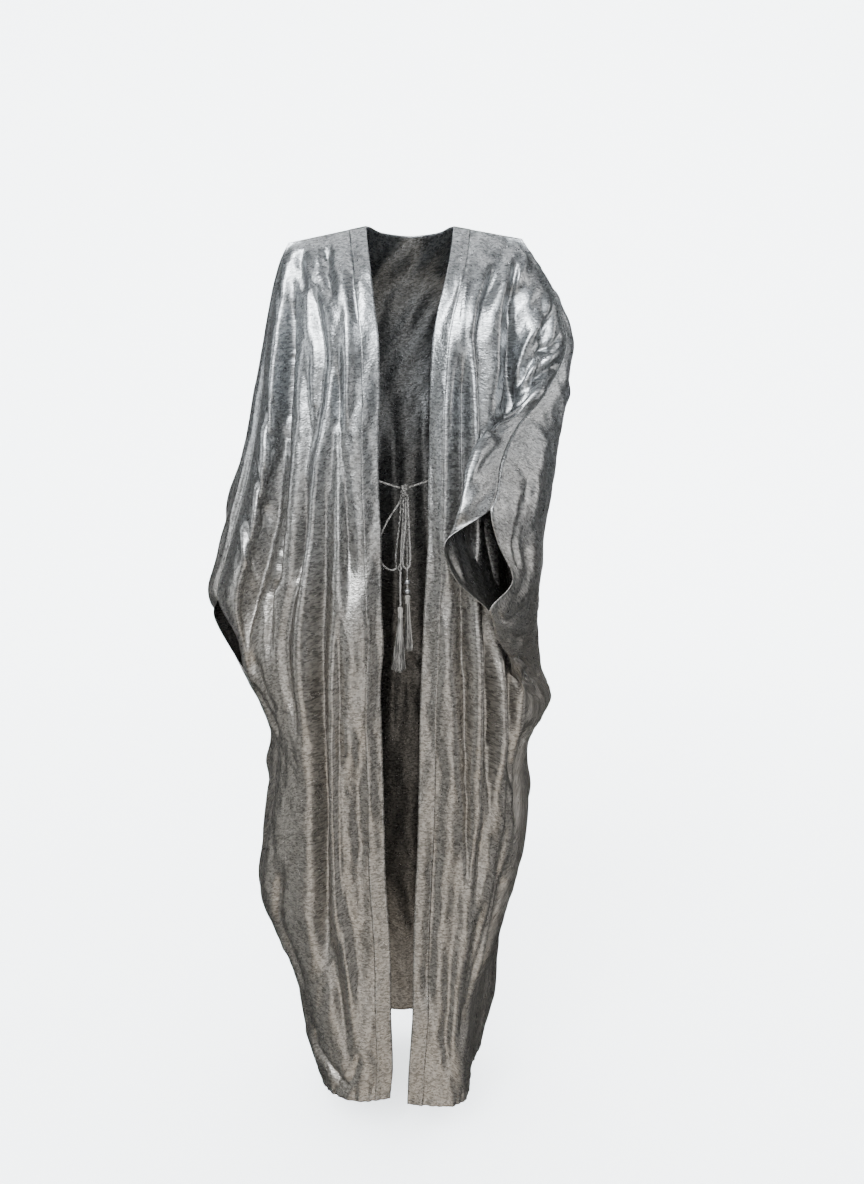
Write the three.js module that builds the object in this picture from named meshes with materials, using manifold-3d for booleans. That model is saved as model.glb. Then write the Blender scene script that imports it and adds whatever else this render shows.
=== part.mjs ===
// Open-front batwing abaya with its own tied belt, worn pose, hollow throughout.
// Millimetres, +Z up, +X to the viewer's right, the front faces -Y.
// The origin lies between the shoulders, level with the shoulder seams at the neck.
import * as THREE from 'three';
import { mergeVertices } from 'three/addons/utils/BufferGeometryUtils.js';
import Module from 'manifold-3d';

const wasm = await Module();
wasm.setup();

// Driving dimensions
const CLOTH = 1.8; // thickness of the cloth walls
const SEAM_GAP = 0.3; // space between two pieces that meet
const BAND_WIDTH = 28; // straight strip along each front edge
const BAND_CLOTH = 1.2; // thickness of that strip
const CORD = 3; // diameter of the braided belt cord
const CORD_SIDES = 8;
const CORD_STEP = 2.5; // length of one face along a cord, in diameters
const BEAD = { radius: 4.2, rim: 3.35, hole: 1.9, half: 3.3, waist: 1.32, sides: 12 };
const STRAND = 1.5; // width of one tassel strand
const STRAND_SIDES = 3;
const ROOTING = 3; // depth of the strands' roots in the head
const TURN = 12; // faces round the knot and the tassel heads

// Faces across and down each cloth piece
const BAND_FACES = 2;
const FRONT_FACES = 25;
const BACK_SLEEVE_FACES = 12; // over-arm seam to neck point
const BACK_NECK_FACES = 7; // neck point to centre back
const LONG_STRETCH = 75; // a longer stretch between two sections gets two faces
const SLEEVE_STRETCH = 50; // the same where the cuffs open
const SLEEVE_LEVELS = [-400, -700];
const ROW_SAMPLES = 80; // steps for measuring along a section
const SMALL = { across: 0.004, down: 4 }; // steps for finding a surface's normal
const WELD = 1e-4; // points closer than this are one
const SHOULDER_LEAN = 0.75; // how far the cloth tips outwards at the shoulder point

// Rows of a table under the column names of its first line
function table(columns, rows) {
  const names = columns.split(' ');
  return rows.map((row) => Object.fromEntries(row.map((value, k) => [names[k], value])));
}

// Sections of the cloth, from the shoulder seam (row 0) to the hem.
// "at" is the level of the section at the front edge and the centre back. The other
// columns are places across the cloth: [x, y], or [x, y, z] where the section climbs.
// Wearer's right side, its arm hanging.
const RIGHT = table('at edge breast fold valley sleeve seam', [
  [22, [-59, 14], [-90, 10.4], [-120, 6.9], [-145, 4.1], [-167, 1.6], [-181, 0, -5]],
  [-22, [-54, -38], [-98, -36], [-142, -27], [-168, -19], [-184, -12], [-193, -4, -30]],
  [-60, [-49, -78], [-99, -76], [-146, -54], [-173, -34], [-189, -28], [-200, -8, -62]],
  [-110, [-43, -106], [-98, -110], [-148, -78], [-174, -42], [-195, -42], [-211, -14, -112]],
  [-160, [-38, -122], [-98, -128], [-152, -90], [-177, -48], [-202, -54], [-219, -18, -160]],
  [-230, [-37, -128], [-100, -133], [-160, -98], [-181, -50], [-210, -64], [-227, -20, -230]],
  [-290, [-39, -130], [-104, -137], [-166, -103], [-185, -52], [-217, -74], [-237, -22, -290]],
  [-350, [-40, -132], [-107, -140], [-172, -107], [-190, -54], [-225, -82], [-249, -24, -350]],
  [-405, [-39, -134], [-110, -142], [-178, -108], [-198, -56], [-235, -87], [-263, -27, -405]],
  [-450, [-37, -136], [-112, -144], [-184, -107], [-206, -58], [-246, -90], [-277, -30, -450]],
  [-505, [-37, -139], [-115, -146], [-196, -104], [-222, -62], [-260, -92], [-294, -35, -505]],
  [-568, [-37, -142], [-118, -149], [-214, -100], [-240, -68], [-273, -90], [-309, -42, -568]],
  [-625, [-35, -144], [-121, -151], [-225, -98], [-249, -78], [-264, -86], [-275, -74, -625]],
  [-689, [-40, -146], [-122, -152], [-220, -104], [-246, -84], [-258, -76], [-266, -60, -689]],
  [-758, [-39, -148], [-122, -153], [-200, -112], [-225, -86], [-236, -66], [-239, -42, -758]],
  [-815, [-38, -149], [-120, -154], [-184, -120], [-206, -94], [-216, -68], [-217, -42, -815]],
  [-870, [-37, -150], [-119, -155], [-182, -122], [-207, -96], [-218, -70], [-219, -42, -870]],
  [-950, [-36, -151], [-120, -156], [-190, -120], [-219, -94], [-231, -68], [-231, -40, -950]],
  [-1020, [-35, -152], [-121, -157], [-198, -116], [-230, -90], [-245, -62], [-246, -34, -1020]],
  [-1090, [-31, -153], [-119, -158], [-200, -116], [-236, -88], [-253, -58], [-256, -30, -1090]],
  [-1160, [-28, -154], [-112, -159], [-182, -122], [-214, -94], [-230, -62], [-234, -32, -1160]],
  [-1270, [-28, -155], [-100, -161], [-152, -134], [-176, -106], [-190, -72], [-195, -36, -1270]],
  [-1360, [-26, -155], [-92, -162], [-142, -134], [-165, -106], [-178, -74], [-183, -40, -1360]],
  [-1425, [-31, -154], [-82, -161], [-120, -144], [-141, -118], [-152, -86], [-158, -52, -1446]],
]);
// Wearer's left side, its forearm raised in front: rows 6 to 11 wrap the forearm.
const LEFT = table('at edge breast fold valley inner under seam', [
  [22, [79, 14], [104, 10.7], [128, 7.6], [149, 4.9], [165, 2.9], [178, 1.2], [187, 0, 2]],
  [-22, [72, -38], [110, -36], [147, -28], [167, -21], [182, -15], [194, -9], [203, -4, -24]],
  [-60, [64, -78], [108, -76], [147, -56], [168, -40], [190, -33], [210, -19], [223, -4, -58]],
  [-110, [51, -106], [104, -112], [146, -82], [168, -52], [198, -48], [229, -28], [247, -7, -104]],
  [-160, [42, -122], [102, -130], [145, -94], [166, -60], [203, -64], [238, -42], [259, -15, -166]],
  [-230, [38, -128], [101, -134], [144, -100], [162, -66], [190, -92], [208, -88], [219, -60, -239]],
  [-290, [37, -131], [101, -138], [142, -102], [158, -62], [143, -102], [131, -146], [174, -110, -284]],
  [-350, [36, -133], [102, -140], [141, -102], [157, -58], [129, -118], [99, -196], [146, -160, -332]],
  [-405, [35, -135], [103, -142], [141, -102], [158, -54], [120, -126], [77, -228], [125, -215, -397]],
  [-450, [35, -137], [104, -143], [142, -102], [160, -54], [116, -130], [71, -206], [58, -240, -442]],
  [-505, [32, -140], [104, -145], [144, -104], [164, -58], [126, -136], [88, -206], [74, -235, -500]],
  [-568, [28, -142], [104, -147], [147, -108], [170, -74], [146, -138], [130, -188], [124, -216, -552]],
  [-625, [26, -144], [104, -149], [150, -114], [174, -92], [156, -130], [145, -154], [143, -172, -609]],
  [-689, [23, -146], [105, -151], [154, -120], [178, -108], [184, -112], [189, -95], [198, -76, -688]],
  [-758, [21, -148], [106, -152], [158, -124], [190, -102], [219, -68], [238, -32], [250, 0, -758]],
  [-815, [20, -149], [104, -154], [153, -128], [180, -106], [198, -82], [206, -56], [209, -30, -815]],
  [-870, [19, -150], [102, -155], [149, -130], [175, -108], [192, -84], [200, -58], [202, -32, -870]],
  [-950, [17, -152], [101, -156], [148, -130], [176, -108], [195, -84], [204, -60], [207, -36, -950]],
  [-1020, [14, -153], [97, -158], [141, -134], [168, -112], [187, -88], [197, -64], [201, -40, -1020]],
  [-1090, [11, -155], [90, -160], [130, -140], [153, -120], [170, -96], [180, -70], [184, -44, -1090]],
  [-1160, [9, -157], [81, -162], [115, -148], [134, -130], [148, -106], [156, -76], [160, -46, -1160]],
  [-1270, [7, -160], [70, -164], [96, -154], [107, -138], [116, -112], [122, -80], [126, -46, -1270]],
  [-1360, [1, -160], [66, -165], [91, -156], [102, -140], [109, -114], [114, -82], [117, -48, -1360]],
  [-1434, [-2, -158], [62, -166], [89, -157], [100, -142], [106, -116], [110, -84], [113, -54, -1446]],
]);
// Back, both halves on the levels above: crown lies just behind the seam, bulge is the
// outermost line, dip the hollow under the arm, blade the shoulder blade, nape next to
// the middle. Row 0 follows the shoulder seams and the back of the neck. Where a cuff is
// open, the back begins at cuffBack and not at the seam.
const BACK_RIGHT = table('crown bulge dip blade nape mid cuffBack', [
  [[-173, 0.9, -3.2], [-148, 3.8, 2.3], [-106, 8.6, 11.6], [-59, 14, 22], [-33, 48, 16], [10, 63, 13]],
  [[-193, 6], [-178, 22], [-130, 38], [-72, 50], [-34, 70], [10, 79]],
  [[-205, 7], [-192, 32], [-148, 60], [-92, 84], [-40, 94], [9, 96]],
  [[-217, 4], [-204, 40], [-158, 74], [-100, 106], [-45, 112], [8, 109]],
  [[-226, 4], [-213, 45], [-164, 78], [-104, 116], [-48, 121], [8, 116]],
  [[-243, 6], [-229, 50], [-172, 74], [-108, 120], [-50, 126], [7, 120]],
  [[-256, 8], [-243, 54], [-180, 72], [-110, 122], [-50, 128], [6, 121]],
  [[-272, 8], [-260, 56], [-190, 70], [-112, 123], [-51, 129], [5, 122]],
  [[-287, 8], [-274, 58], [-200, 70], [-113, 124], [-52, 131], [4, 123]],
  [[-300, 6], [-284, 58], [-210, 71], [-114, 124], [-53, 132], [4, 124]],
  [[-316, 2], [-298, 56], [-222, 72], [-116, 125], [-54, 133], [3, 125]],
  [[-331, -4], [-308, 52], [-236, 72], [-118, 125], [-55, 134], [2, 126]],
  [[-318, 44, -624], [-292, 58], [-236, 70], [-120, 126], [-56, 135], [1, 127], [-328, 30, -622]],
  [[-278, -24], [-264, 34], [-224, 68], [-122, 126], [-57, 136], [1, 128]],
  [[-249, -16], [-244, 24], [-210, 68], [-123, 126], [-58, 137], [0, 129]],
  [[-230, -18], [-230, 20], [-201, 68], [-123, 126], [-58, 137], [0, 130]],
  [[-234, -18], [-233, 22], [-202, 70], [-123, 126], [-58, 138], [-1, 131]],
  [[-246, -14], [-244, 26], [-208, 74], [-123, 126], [-58, 138], [-1, 132]],
  [[-256, -8], [-252, 30], [-213, 76], [-122, 127], [-58, 139], [-2, 133]],
  [[-264, -4], [-258, 34], [-216, 78], [-121, 128], [-58, 140], [-2, 134]],
  [[-243, -6], [-238, 34], [-202, 80], [-117, 129], [-57, 140], [-3, 134]],
  [[-203, -8], [-200, 34], [-172, 82], [-108, 127], [-55, 139], [-4, 134]],
  [[-189, -12], [-184, 32], [-158, 80], [-102, 124], [-54, 137], [-5, 133]],
  [[-163, -22], [-160, 26], [-140, 74], [-94, 118], [-52, 133], [-6, 131]],
]);
const BACK_LEFT = table('crown bulge dip blade nape cuffBack', [
  [[181, 0.8, 3.1], [164, 3, 6.3], [124, 8.2, 13.7], [79, 14, 22], [53, 48, 16]],
  [[205, 6, -23], [190, 22], [145, 38], [92, 50], [54, 70]],
  [[228, 8, -56], [212, 34], [164, 60], [108, 84], [58, 94]],
  [[255, 10, -100], [232, 44], [178, 74], [115, 106], [61, 112]],
  [[275, 12, -160], [252, 54], [188, 80], [119, 116], [63, 121]],
  [[252, -30, -236], [268, 14, -233], [204, 84], [121, 120], [64, 126]],
  [[216, -74, -283], [256, -6, -290], [212, 82], [122, 122], [64, 128]],
  [[198, -116, -338], [247, -22, -350], [214, 76], [122, 123], [64, 129]],
  [[184, -158, -396], [238, -32, -405], [212, 70], [122, 124], [63, 131]],
  [[176, -164, -448], [230, -36, -450], [210, 66], [121, 124], [62, 132], [136, -208, -448]],
  [[182, -162, -506], [227, -38, -506], [208, 64], [121, 125], [61, 133], [160, -200, -508]],
  [[164, -176, -566], [222, -42, -572], [206, 62], [121, 125], [61, 134]],
  [[182, -134, -618], [222, -34, -628], [207, 62], [121, 126], [60, 135]],
  [[217, -52, -690], [231, -4, -692], [210, 66], [121, 126], [60, 136]],
  [[253, 13, -758], [242, 34, -757], [206, 72], [121, 126], [60, 137]],
  [[215, -10], [212, 24], [190, 74], [120, 126], [59, 137]],
  [[208, -12], [206, 24], [186, 76], [119, 126], [59, 138]],
  [[213, -14], [210, 24], [188, 76], [119, 126], [58, 138]],
  [[208, -16], [206, 24], [184, 78], [118, 127], [57, 139]],
  [[192, -18], [193, 24], [176, 78], [116, 127], [56, 140]],
  [[171, -18], [178, 24], [172, 76], [113, 126], [54, 140]],
  [[141, -18], [161, 20], [166, 72], [110, 124], [50, 139]],
  [[131, -20], [154, 18], [162, 70], [108, 122], [47, 137]],
  [[121, -28], [134, 12], [136, 62], [97, 114], [42, 132]],
]);
const HEM_BACK = -1446; // level of the hem at the centre back
// Rows between which each cuff is open
const CUFFS = { right: { top: 11, foot: 13 }, left: { top: 8, foot: 11 } };

// Share of a section's width at which each named column lies
const ACROSS_RIGHT = { edge: 0, breast: 0.26, fold: 0.5, valley: 0.66, sleeve: 0.82, seam: 1 };
const ACROSS_LEFT = {
  edge: 0, breast: 0.2, fold: 0.36, valley: 0.49, inner: 0.66, under: 0.84, seam: 1,
};
const ACROSS_BACK = {
  seam: 0, crown: 0.07, bulge: 0.15, dip: 0.27, blade: 0.38, nape: 0.46, mid: 0.5,
};
// How far a column without its own level has moved from the edge's level to the seam's
const CLIMB = {
  edge: 0, breast: 0.04, fold: 0.15, valley: 0.35, sleeve: 0.75, inner: 0.6, under: 0.9, seam: 1,
  crown: 1, bulge: 0.8, dip: 0.3, blade: 0.05, nape: 0, mid: 0,
};

// The largest folds. "across" is the share of the width at the fold's top and foot,
// "spread" half its width in that share, "height" how far it stands out (minus: in).
const FOLDS = {
  right: [
    { top: -60, foot: -700, across: [0.2, 0.22], spread: 0.045, height: 7 },
    { top: -150, foot: -1000, across: [0.27, 0.31], spread: 0.04, height: -8 },
    { top: -210, foot: -800, across: [0.35, 0.36], spread: 0.04, height: 9 },
    { top: -330, foot: -820, across: [0.42, 0.42], spread: 0.035, height: -10 },
    { top: -300, foot: -660, across: [0.72, 0.76], spread: 0.05, height: -7 },
    { top: -780, foot: -1400, across: [0.34, 0.3], spread: 0.075, height: -15 },
    { top: -720, foot: -1300, across: [0.25, 0.22], spread: 0.035, height: 7 },
  ],
  left: [
    { top: -60, foot: -900, across: [0.1, 0.08], spread: 0.045, height: 6 },
    { top: -120, foot: -760, across: [0.17, 0.15], spread: 0.04, height: -9 },
    { top: -160, foot: -900, across: [0.23, 0.21], spread: 0.035, height: 8 },
    { top: -300, foot: -1150, across: [0.28, 0.27], spread: 0.04, height: -13 },
    { top: -360, foot: -1000, across: [0.34, 0.34], spread: 0.04, height: 7 },
    { top: -560, foot: -1300, across: [0.42, 0.42], spread: 0.04, height: -8 },
    { top: -90, foot: -300, across: [0.8, 0.6], spread: 0.06, height: -9 },
    { top: -820, foot: -1440, across: [0.14, 0.2], spread: 0.05, height: -7 },
  ],
  back: [
    { top: -70, foot: -1300, across: [0.33, 0.32], spread: 0.028, height: -12 },
    { top: -110, foot: -1440, across: [0.4, 0.41], spread: 0.03, height: 9 },
    { top: -160, foot: -1440, across: [0.455, 0.46], spread: 0.024, height: -11 },
    { top: -240, foot: -1380, across: [0.5, 0.505], spread: 0.028, height: 9 },
    { top: -150, foot: -1440, across: [0.55, 0.545], spread: 0.026, height: -12 },
    { top: -120, foot: -1400, across: [0.61, 0.6], spread: 0.03, height: 9 },
    { top: -80, foot: -1250, across: [0.67, 0.68], spread: 0.026, height: -12 },
    { top: -200, foot: -620, across: [0.2, 0.17], spread: 0.03, height: -9 },
    { top: -220, foot: -700, across: [0.8, 0.83], spread: 0.03, height: -9 },
  ],
};
const FOLD_RUN_IN = 0.22; // share of a fold's length over which it fades in and out
const FOLD_FALL = 2; // how steeply its sides fall

// Belt: the two cords are stitched inside the front edges at the waist, cross to a knot
// in the opening and hang from it as two loops, a wide side loop and two tails.
const KNOT = {
  centre: [-1, -130],
  profile: [
    [0, -370], [3.6, -370.6], [5.8, -373.5], [6.3, -378],
    [7.4, -384], [7.9, -388], [7.9, -390], [0, -390],
  ],
};
const ROUTES = {
  belt_cord_right: [
    [-62, -134, -364], [-51, -131.8, -365], [-40, -129.7, -366.5], [-24, -129.6, -371.5],
    [-7.8, -130, -376.5],
  ],
  belt_cord_left: [
    [57, -134.8, -363.5], [46, -132.5, -364.5], [35.5, -130.6, -366], [20, -130.2, -371],
    [5.8, -130, -376],
  ],
  belt_loop_right: [
    [-6.2, -133.4, -390.4], [-6.4, -133.5, -400], [-7.4, -133.7, -416], [-9.6, -133.9, -438],
    [-12.5, -134, -462], [-14.6, -134, -480], [-15, -134, -490], [-13.3, -134, -499.5],
    [-9, -134, -504.2], [-4.7, -134, -499.5], [-3, -134, -490], [-2.7, -134, -480],
    [-2.7, -133.9, -462], [-2.7, -133.8, -438], [-2.7, -133.6, -416], [-2.7, -133.5, -400],
    [-2.7, -133.4, -390.4],
  ],
  belt_loop_left: [
    [0.8, -133.4, -390.4], [0.9, -133.8, -400], [0.8, -135.2, -416], [0, -136.6, -438],
    [-2, -137.2, -462], [-4, -137.3, -480], [-4.4, -137.3, -488], [-2.8, -137.3, -497],
    [1.6, -137.3, -501.6], [6, -137.3, -497], [7.7, -137.3, -488], [7.6, -137.3, -480],
    [7, -137.2, -462], [6, -136.6, -438], [5, -135.2, -416], [4.4, -133.8, -400],
    [4.3, -133.4, -390.4],
  ],
  belt_loop_side: [
    [-6.2, -129.8, -390.4], [-6.9, -129.7, -395], [-10.5, -129.4, -402], [-17, -129, -412],
    [-25, -128.8, -424], [-32, -128.6, -437], [-37.5, -128.6, -450], [-41, -128.5, -464],
    [-41.5, -128.4, -479], [-38, -128.2, -492], [-31, -128, -501], [-22, -127.8, -505],
    [-13.5, -127, -502.5], [-8, -126, -496], [-5.3, -125.4, -486], [-4.5, -125.3, -470],
    [-4.2, -125.3, -450], [-3.5, -125.5, -430], [-2.5, -125.8, -410], [-1.6, -126.2, -390.4],
  ],
  belt_tail_long: [
    [-2.4, -129.8, -390.4], [-2.6, -129.8, -400], [-3.4, -129.8, -420], [-4.6, -129.8, -440],
    [-5.8, -129.8, -460], [-6.8, -129.9, -480], [-7.5, -130.3, -500], [-7.9, -131.6, -515],
    [-8.1, -132.8, -530], [-8.1, -133.6, -545], [-8.1, -134, -562],
  ],
  belt_tail_short: [
    [1.4, -129.8, -390.4], [1.6, -129.5, -400], [2, -128.6, -420], [2.4, -127, -440],
    [2.7, -125.2, -460], [2.9, -123.6, -480], [2.9, -122.5, -500], [2.8, -122.1, -512],
    [2.8, -122, -525], [3, -122, -538], [3.1, -122, -545.7],
  ],
};
const BEADS = { bead_upper: [2.8, -122, -525.5], bead_lower: [3, -122, -540.6] };
// Tassels: the head's outline as [radius, drop], then the skirt's strands in rings
const TASSELS = {
  tassel_long: {
    top: [-8.1, -134, -562.3],
    head: [[0, 0], [2.8, 0.4], [4.6, 3.4], [4.6, 7.4], [3.4, 10.6], [3.6, 12], [4.4, 17.6], [0, 17.6]],
    length: 105,
    lean: [-3.5, 0],
    rings: [
      { count: 1, root: 0, tip: 0 },
      { count: 7, root: 1.8, tip: 6.4 },
      { count: 13, root: 3.3, tip: 12.6 },
    ],
  },
  tassel_short: {
    top: [3.1, -122, -546],
    head: [[0, 0], [3, 0.4], [4.2, 2.6], [4, 6.2], [3, 8.6], [3.2, 10], [3.8, 14.6], [0, 14.6]],
    length: 93.5,
    lean: [1.2, 1],
    rings: [
      { count: 1, root: 0, tip: 0 },
      { count: 6, root: 1.6, tip: 3.8 },
      { count: 11, root: 2.9, tip: 7.4 },
    ],
  },
};

// How far a strand has moved out, and its width, along its length
const TASSEL_SPREAD = [
  { along: 0, out: 0, width: 1 },
  { along: 0.35, out: 0.55, width: 1 },
  { along: 1, out: 1, width: 0.8 },
];

const COLOURS = {
  lame: 0x8f8d8a,
  lameBand: 0x85827f,
  cord: 0x7c7b7b,
  bead: 0x8a8a8c,
};
const lame = new THREE.MeshStandardMaterial({
  color: COLOURS.lame, roughness: 0.35, metalness: 0.85, name: 'silver_lame',
});
const band = new THREE.MeshStandardMaterial({
  color: COLOURS.lameBand, roughness: 0.4, metalness: 0.8, name: 'silver_lame_band',
});
const braid = new THREE.MeshStandardMaterial({
  color: COLOURS.cord, roughness: 0.7, metalness: 0.2, name: 'braided_cord',
});
const beadFinish = new THREE.MeshStandardMaterial({
  color: COLOURS.bead, roughness: 0.3, metalness: 0.8, name: 'bead',
});

// Cubic curve through unevenly spaced knots, one number at a time
function through(knots, values, where) {
  const last = knots.length - 1;
  let k = 0;
  while (k < last - 1 && where > knots[k + 1]) {
    k += 1;
  }
  const slope = (i) => {
    const a = Math.max(i - 1, 0);
    const b = Math.min(i + 1, last);
    return (values[b] - values[a]) / (knots[b] - knots[a]);
  };
  const span = knots[k + 1] - knots[k];
  const t = (where - knots[k]) / span;
  const t2 = t * t;
  const t3 = t2 * t;
  const ends = (2 * t3 - 3 * t2 + 1) * values[k] + (3 * t2 - 2 * t3) * values[k + 1];
  return ends + (t3 - 2 * t2 + t) * span * slope(k) + (t3 - t2) * span * slope(k + 1);
}

// One panel's surface: place(across, down) from its sections and column shares
function surface(rows, shares) {
  const names = Object.keys(shares);
  const knots = names.map((name) => shares[name]);
  const levels = rows.map((row) => -row.at);
  const straight = (row, x) => (x - row.edge[0]) / (row.seam[0] - row.edge[0]);
  const spot = (row, name) => {
    const [x, y, z] = row[name];
    const climb = row === rows[0] && row.edge ? straight(row, x) : CLIMB[name];
    return [x, y, z ?? row.at + (row.seam[2] - row.at) * climb];
  };
  const columns = names.map((name) => rows.map((row) => spot(row, name)));
  return (across, down) => {
    const at = [0, 1, 2].map((axis) => {
      const line = columns.map((column) => through(levels, column.map((p) => p[axis]), down));
      return through(knots, line, across);
    });
    return new THREE.Vector3(...at);
  };
}

// Height of all folds at one place; each is a rounded ridge that fades at both ends
function foldHeight(folds, across, down) {
  let height = 0;
  for (const fold of folds) {
    const along = (-down - fold.top) / (fold.foot - fold.top);
    if (along <= 0 || along >= 1) {
      continue;
    }
    const centre = fold.across[0] + (fold.across[1] - fold.across[0]) * along;
    const off = (across - centre) / fold.spread;
    const end = Math.min(along, 1 - along) / FOLD_RUN_IN;
    const fade = end >= 1 ? 1 : end * end * (3 - 2 * end);
    height += fold.height * fade * Math.exp(-FOLD_FALL * off * off);
  }
  return height;
}

// Normal of a surface at one place, by small steps each way
function normalAt(place, across, down, outward) {
  const before = place(Math.max(across - SMALL.across, 0), down);
  const along = place(Math.min(across + SMALL.across, 1), down).sub(before);
  const fall = place(across, down + SMALL.down).sub(place(across, down - SMALL.down));
  return along.cross(fall).normalize().multiplyScalar(outward);
}

// Levels at which every panel has a row of points
function rowsDown(rows) {
  const downs = [-rows[0].at];
  for (let i = 1; i < rows.length; i += 1) {
    const from = -rows[i - 1].at;
    const to = -rows[i].at;
    const sleeve = from >= -SLEEVE_LEVELS[0] && to <= -SLEEVE_LEVELS[1];
    if (to - from > (sleeve ? SLEEVE_STRETCH : LONG_STRETCH)) {
      downs.push((from + to) / 2);
    }
    downs.push(to);
  }
  return downs;
}

// Share of the width at which a section has run a given length from its front edge
function shareAtLength(point, length) {
  let run = 0;
  let before = point(0);
  for (let i = 1; i <= ROW_SAMPLES; i += 1) {
    const next = point(i / ROW_SAMPLES);
    const step = next.distanceTo(before);
    if (run + step >= length) {
      return (i - 1 + (length - run) / step) / ROW_SAMPLES;
    }
    run += step;
    before = next;
  }
  return 1;
}

// Grid of points on the middle of a cloth piece: grid[row][column]. Each pair of stops
// is divided evenly; a band of fixed width leads on the fronts.
function panelGrid(place, folds, downs, outward, stops, counts, lead) {
  return downs.map((down) => {
    const point = (across) => {
      const normal = normalAt(place, across, down, outward);
      return place(across, down).addScaledVector(normal, foldHeight(folds, across, down));
    };
    const marks = lead > 0 ? [0, shareAtLength(point, lead), 1] : stops;
    const row = [point(0)];
    counts.forEach((count, part) => {
      for (let k = 1; k <= count; k += 1) {
        row.push(point(marks[part] + ((marks[part + 1] - marks[part]) * k) / count));
      }
    });
    return row;
  });
}

// Normals of a grid, by the difference of each point's neighbours
function gridNormals(grid, outward) {
  const lastRow = grid.length - 1;
  const lastColumn = grid[0].length - 1;
  return grid.map((row, j) => row.map((_, i) => {
    const across = row[Math.min(i + 1, lastColumn)].clone().sub(row[Math.max(i - 1, 0)]);
    const below = grid[Math.min(j + 1, lastRow)][i];
    const down = below.clone().sub(grid[Math.max(j - 1, 0)][i]);
    return across.cross(down).normalize().multiplyScalar(outward);
  }));
}

// Where two panels are sewn they share one normal, and each ends half a gap short
function sewSides(front, back, frontColumn, backColumn, joined) {
  const inFront = frontColumn === 0 ? 1 : frontColumn - 1;
  const inBack = backColumn === 0 ? 1 : backColumn - 1;
  const last = front.grid.length - 1;
  const seam = front.grid.map((row) => row[frontColumn].clone());
  seam.forEach((point, j) => {
    if (!joined[j]) {
      return;
    }
    const tangent = seam[Math.min(j + 1, last)].clone().sub(seam[Math.max(j - 1, 0)]);
    const over = back.grid[j][inBack].clone().sub(front.grid[j][inFront]);
    const normal = over.cross(tangent).normalize();
    if (normal.dot(front.normals[j][inFront]) < 0) {
      normal.negate();
    }
    const aside = normal.clone().cross(tangent).normalize();
    if (aside.dot(back.grid[j][inBack].clone().sub(point)) < 0) {
      aside.negate();
    }
    front.normals[j][frontColumn] = normal;
    back.normals[j][backColumn] = normal.clone();
    front.grid[j][frontColumn] = point.clone().addScaledVector(aside, -SEAM_GAP / 2);
    back.grid[j][backColumn] = point.clone().addScaledVector(aside, SEAM_GAP / 2);
  });
}

// The shoulder seam runs straight from the neck point to the shoulder point; its cloth
// faces up at the neck and leans out towards the arm
function sewShoulder(panel, columns, side, towards) {
  const neck = panel.grid[0][columns[0]].clone();
  const tip = panel.grid[0][columns[columns.length - 1]].clone();
  const run = tip.clone().sub(neck);
  const length = run.length();
  for (const column of columns) {
    const point = panel.grid[0][column];
    const share = point.distanceTo(neck) / length;
    point.copy(neck).addScaledVector(run, share);
    const lean = SHOULDER_LEAN * share * share;
    const normal = new THREE.Vector3(side * lean, 0, 1).normalize();
    panel.normals[0][column] = normal;
    const aside = run.clone().cross(normal).normalize();
    if (aside.y * towards < 0) {
      aside.negate();
    }
    point.addScaledVector(aside, SEAM_GAP / 2);
  }
}

// Closed wall from a grid: its points moved out and in by the normals
function wall(grid, normals, low, high) {
  const rows = grid.length;
  const columns = grid[0].length;
  const positions = [];
  const index = [];
  for (const offset of [high, low]) {
    grid.forEach((row, j) => row.forEach((point, i) => {
      positions.push(...point.clone().addScaledVector(normals[j][i], offset).toArray());
    }));
  }
  const at = (side, j, i) => side * rows * columns + j * columns + i;
  const quad = (a, b, c, d) => index.push(a, b, c, a, c, d);
  for (let j = 0; j < rows - 1; j += 1) {
    for (let i = 0; i < columns - 1; i += 1) {
      quad(at(0, j, i), at(0, j + 1, i), at(0, j + 1, i + 1), at(0, j, i + 1));
      quad(at(1, j, i), at(1, j, i + 1), at(1, j + 1, i + 1), at(1, j + 1, i));
    }
  }
  for (let i = 0; i < columns - 1; i += 1) {
    quad(at(0, 0, i), at(0, 0, i + 1), at(1, 0, i + 1), at(1, 0, i));
    quad(at(0, rows - 1, i), at(1, rows - 1, i), at(1, rows - 1, i + 1), at(0, rows - 1, i + 1));
  }
  for (let j = 0; j < rows - 1; j += 1) {
    quad(at(0, j, 0), at(1, j, 0), at(1, j + 1, 0), at(0, j + 1, 0));
    quad(at(0, j, columns - 1), at(0, j + 1, columns - 1), at(1, j + 1, columns - 1), at(1, j, columns - 1));
  }
  const geometry = new THREE.BufferGeometry();
  geometry.setAttribute('position', new THREE.Float32BufferAttribute(positions, 3));
  geometry.setIndex(signedVolume(positions, index) < 0 ? index.slice().reverse() : index);
  geometry.computeVertexNormals();
  return geometry;
}

function signedVolume(positions, index) {
  let volume = 0;
  const [a, b, c] = [new THREE.Vector3(), new THREE.Vector3(), new THREE.Vector3()];
  for (let i = 0; i < index.length; i += 3) {
    a.fromArray(positions, index[i] * 3);
    b.fromArray(positions, index[i + 1] * 3);
    c.fromArray(positions, index[i + 2] * 3);
    volume += a.dot(b.cross(c)) / 6;
  }
  return volume;
}

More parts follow.
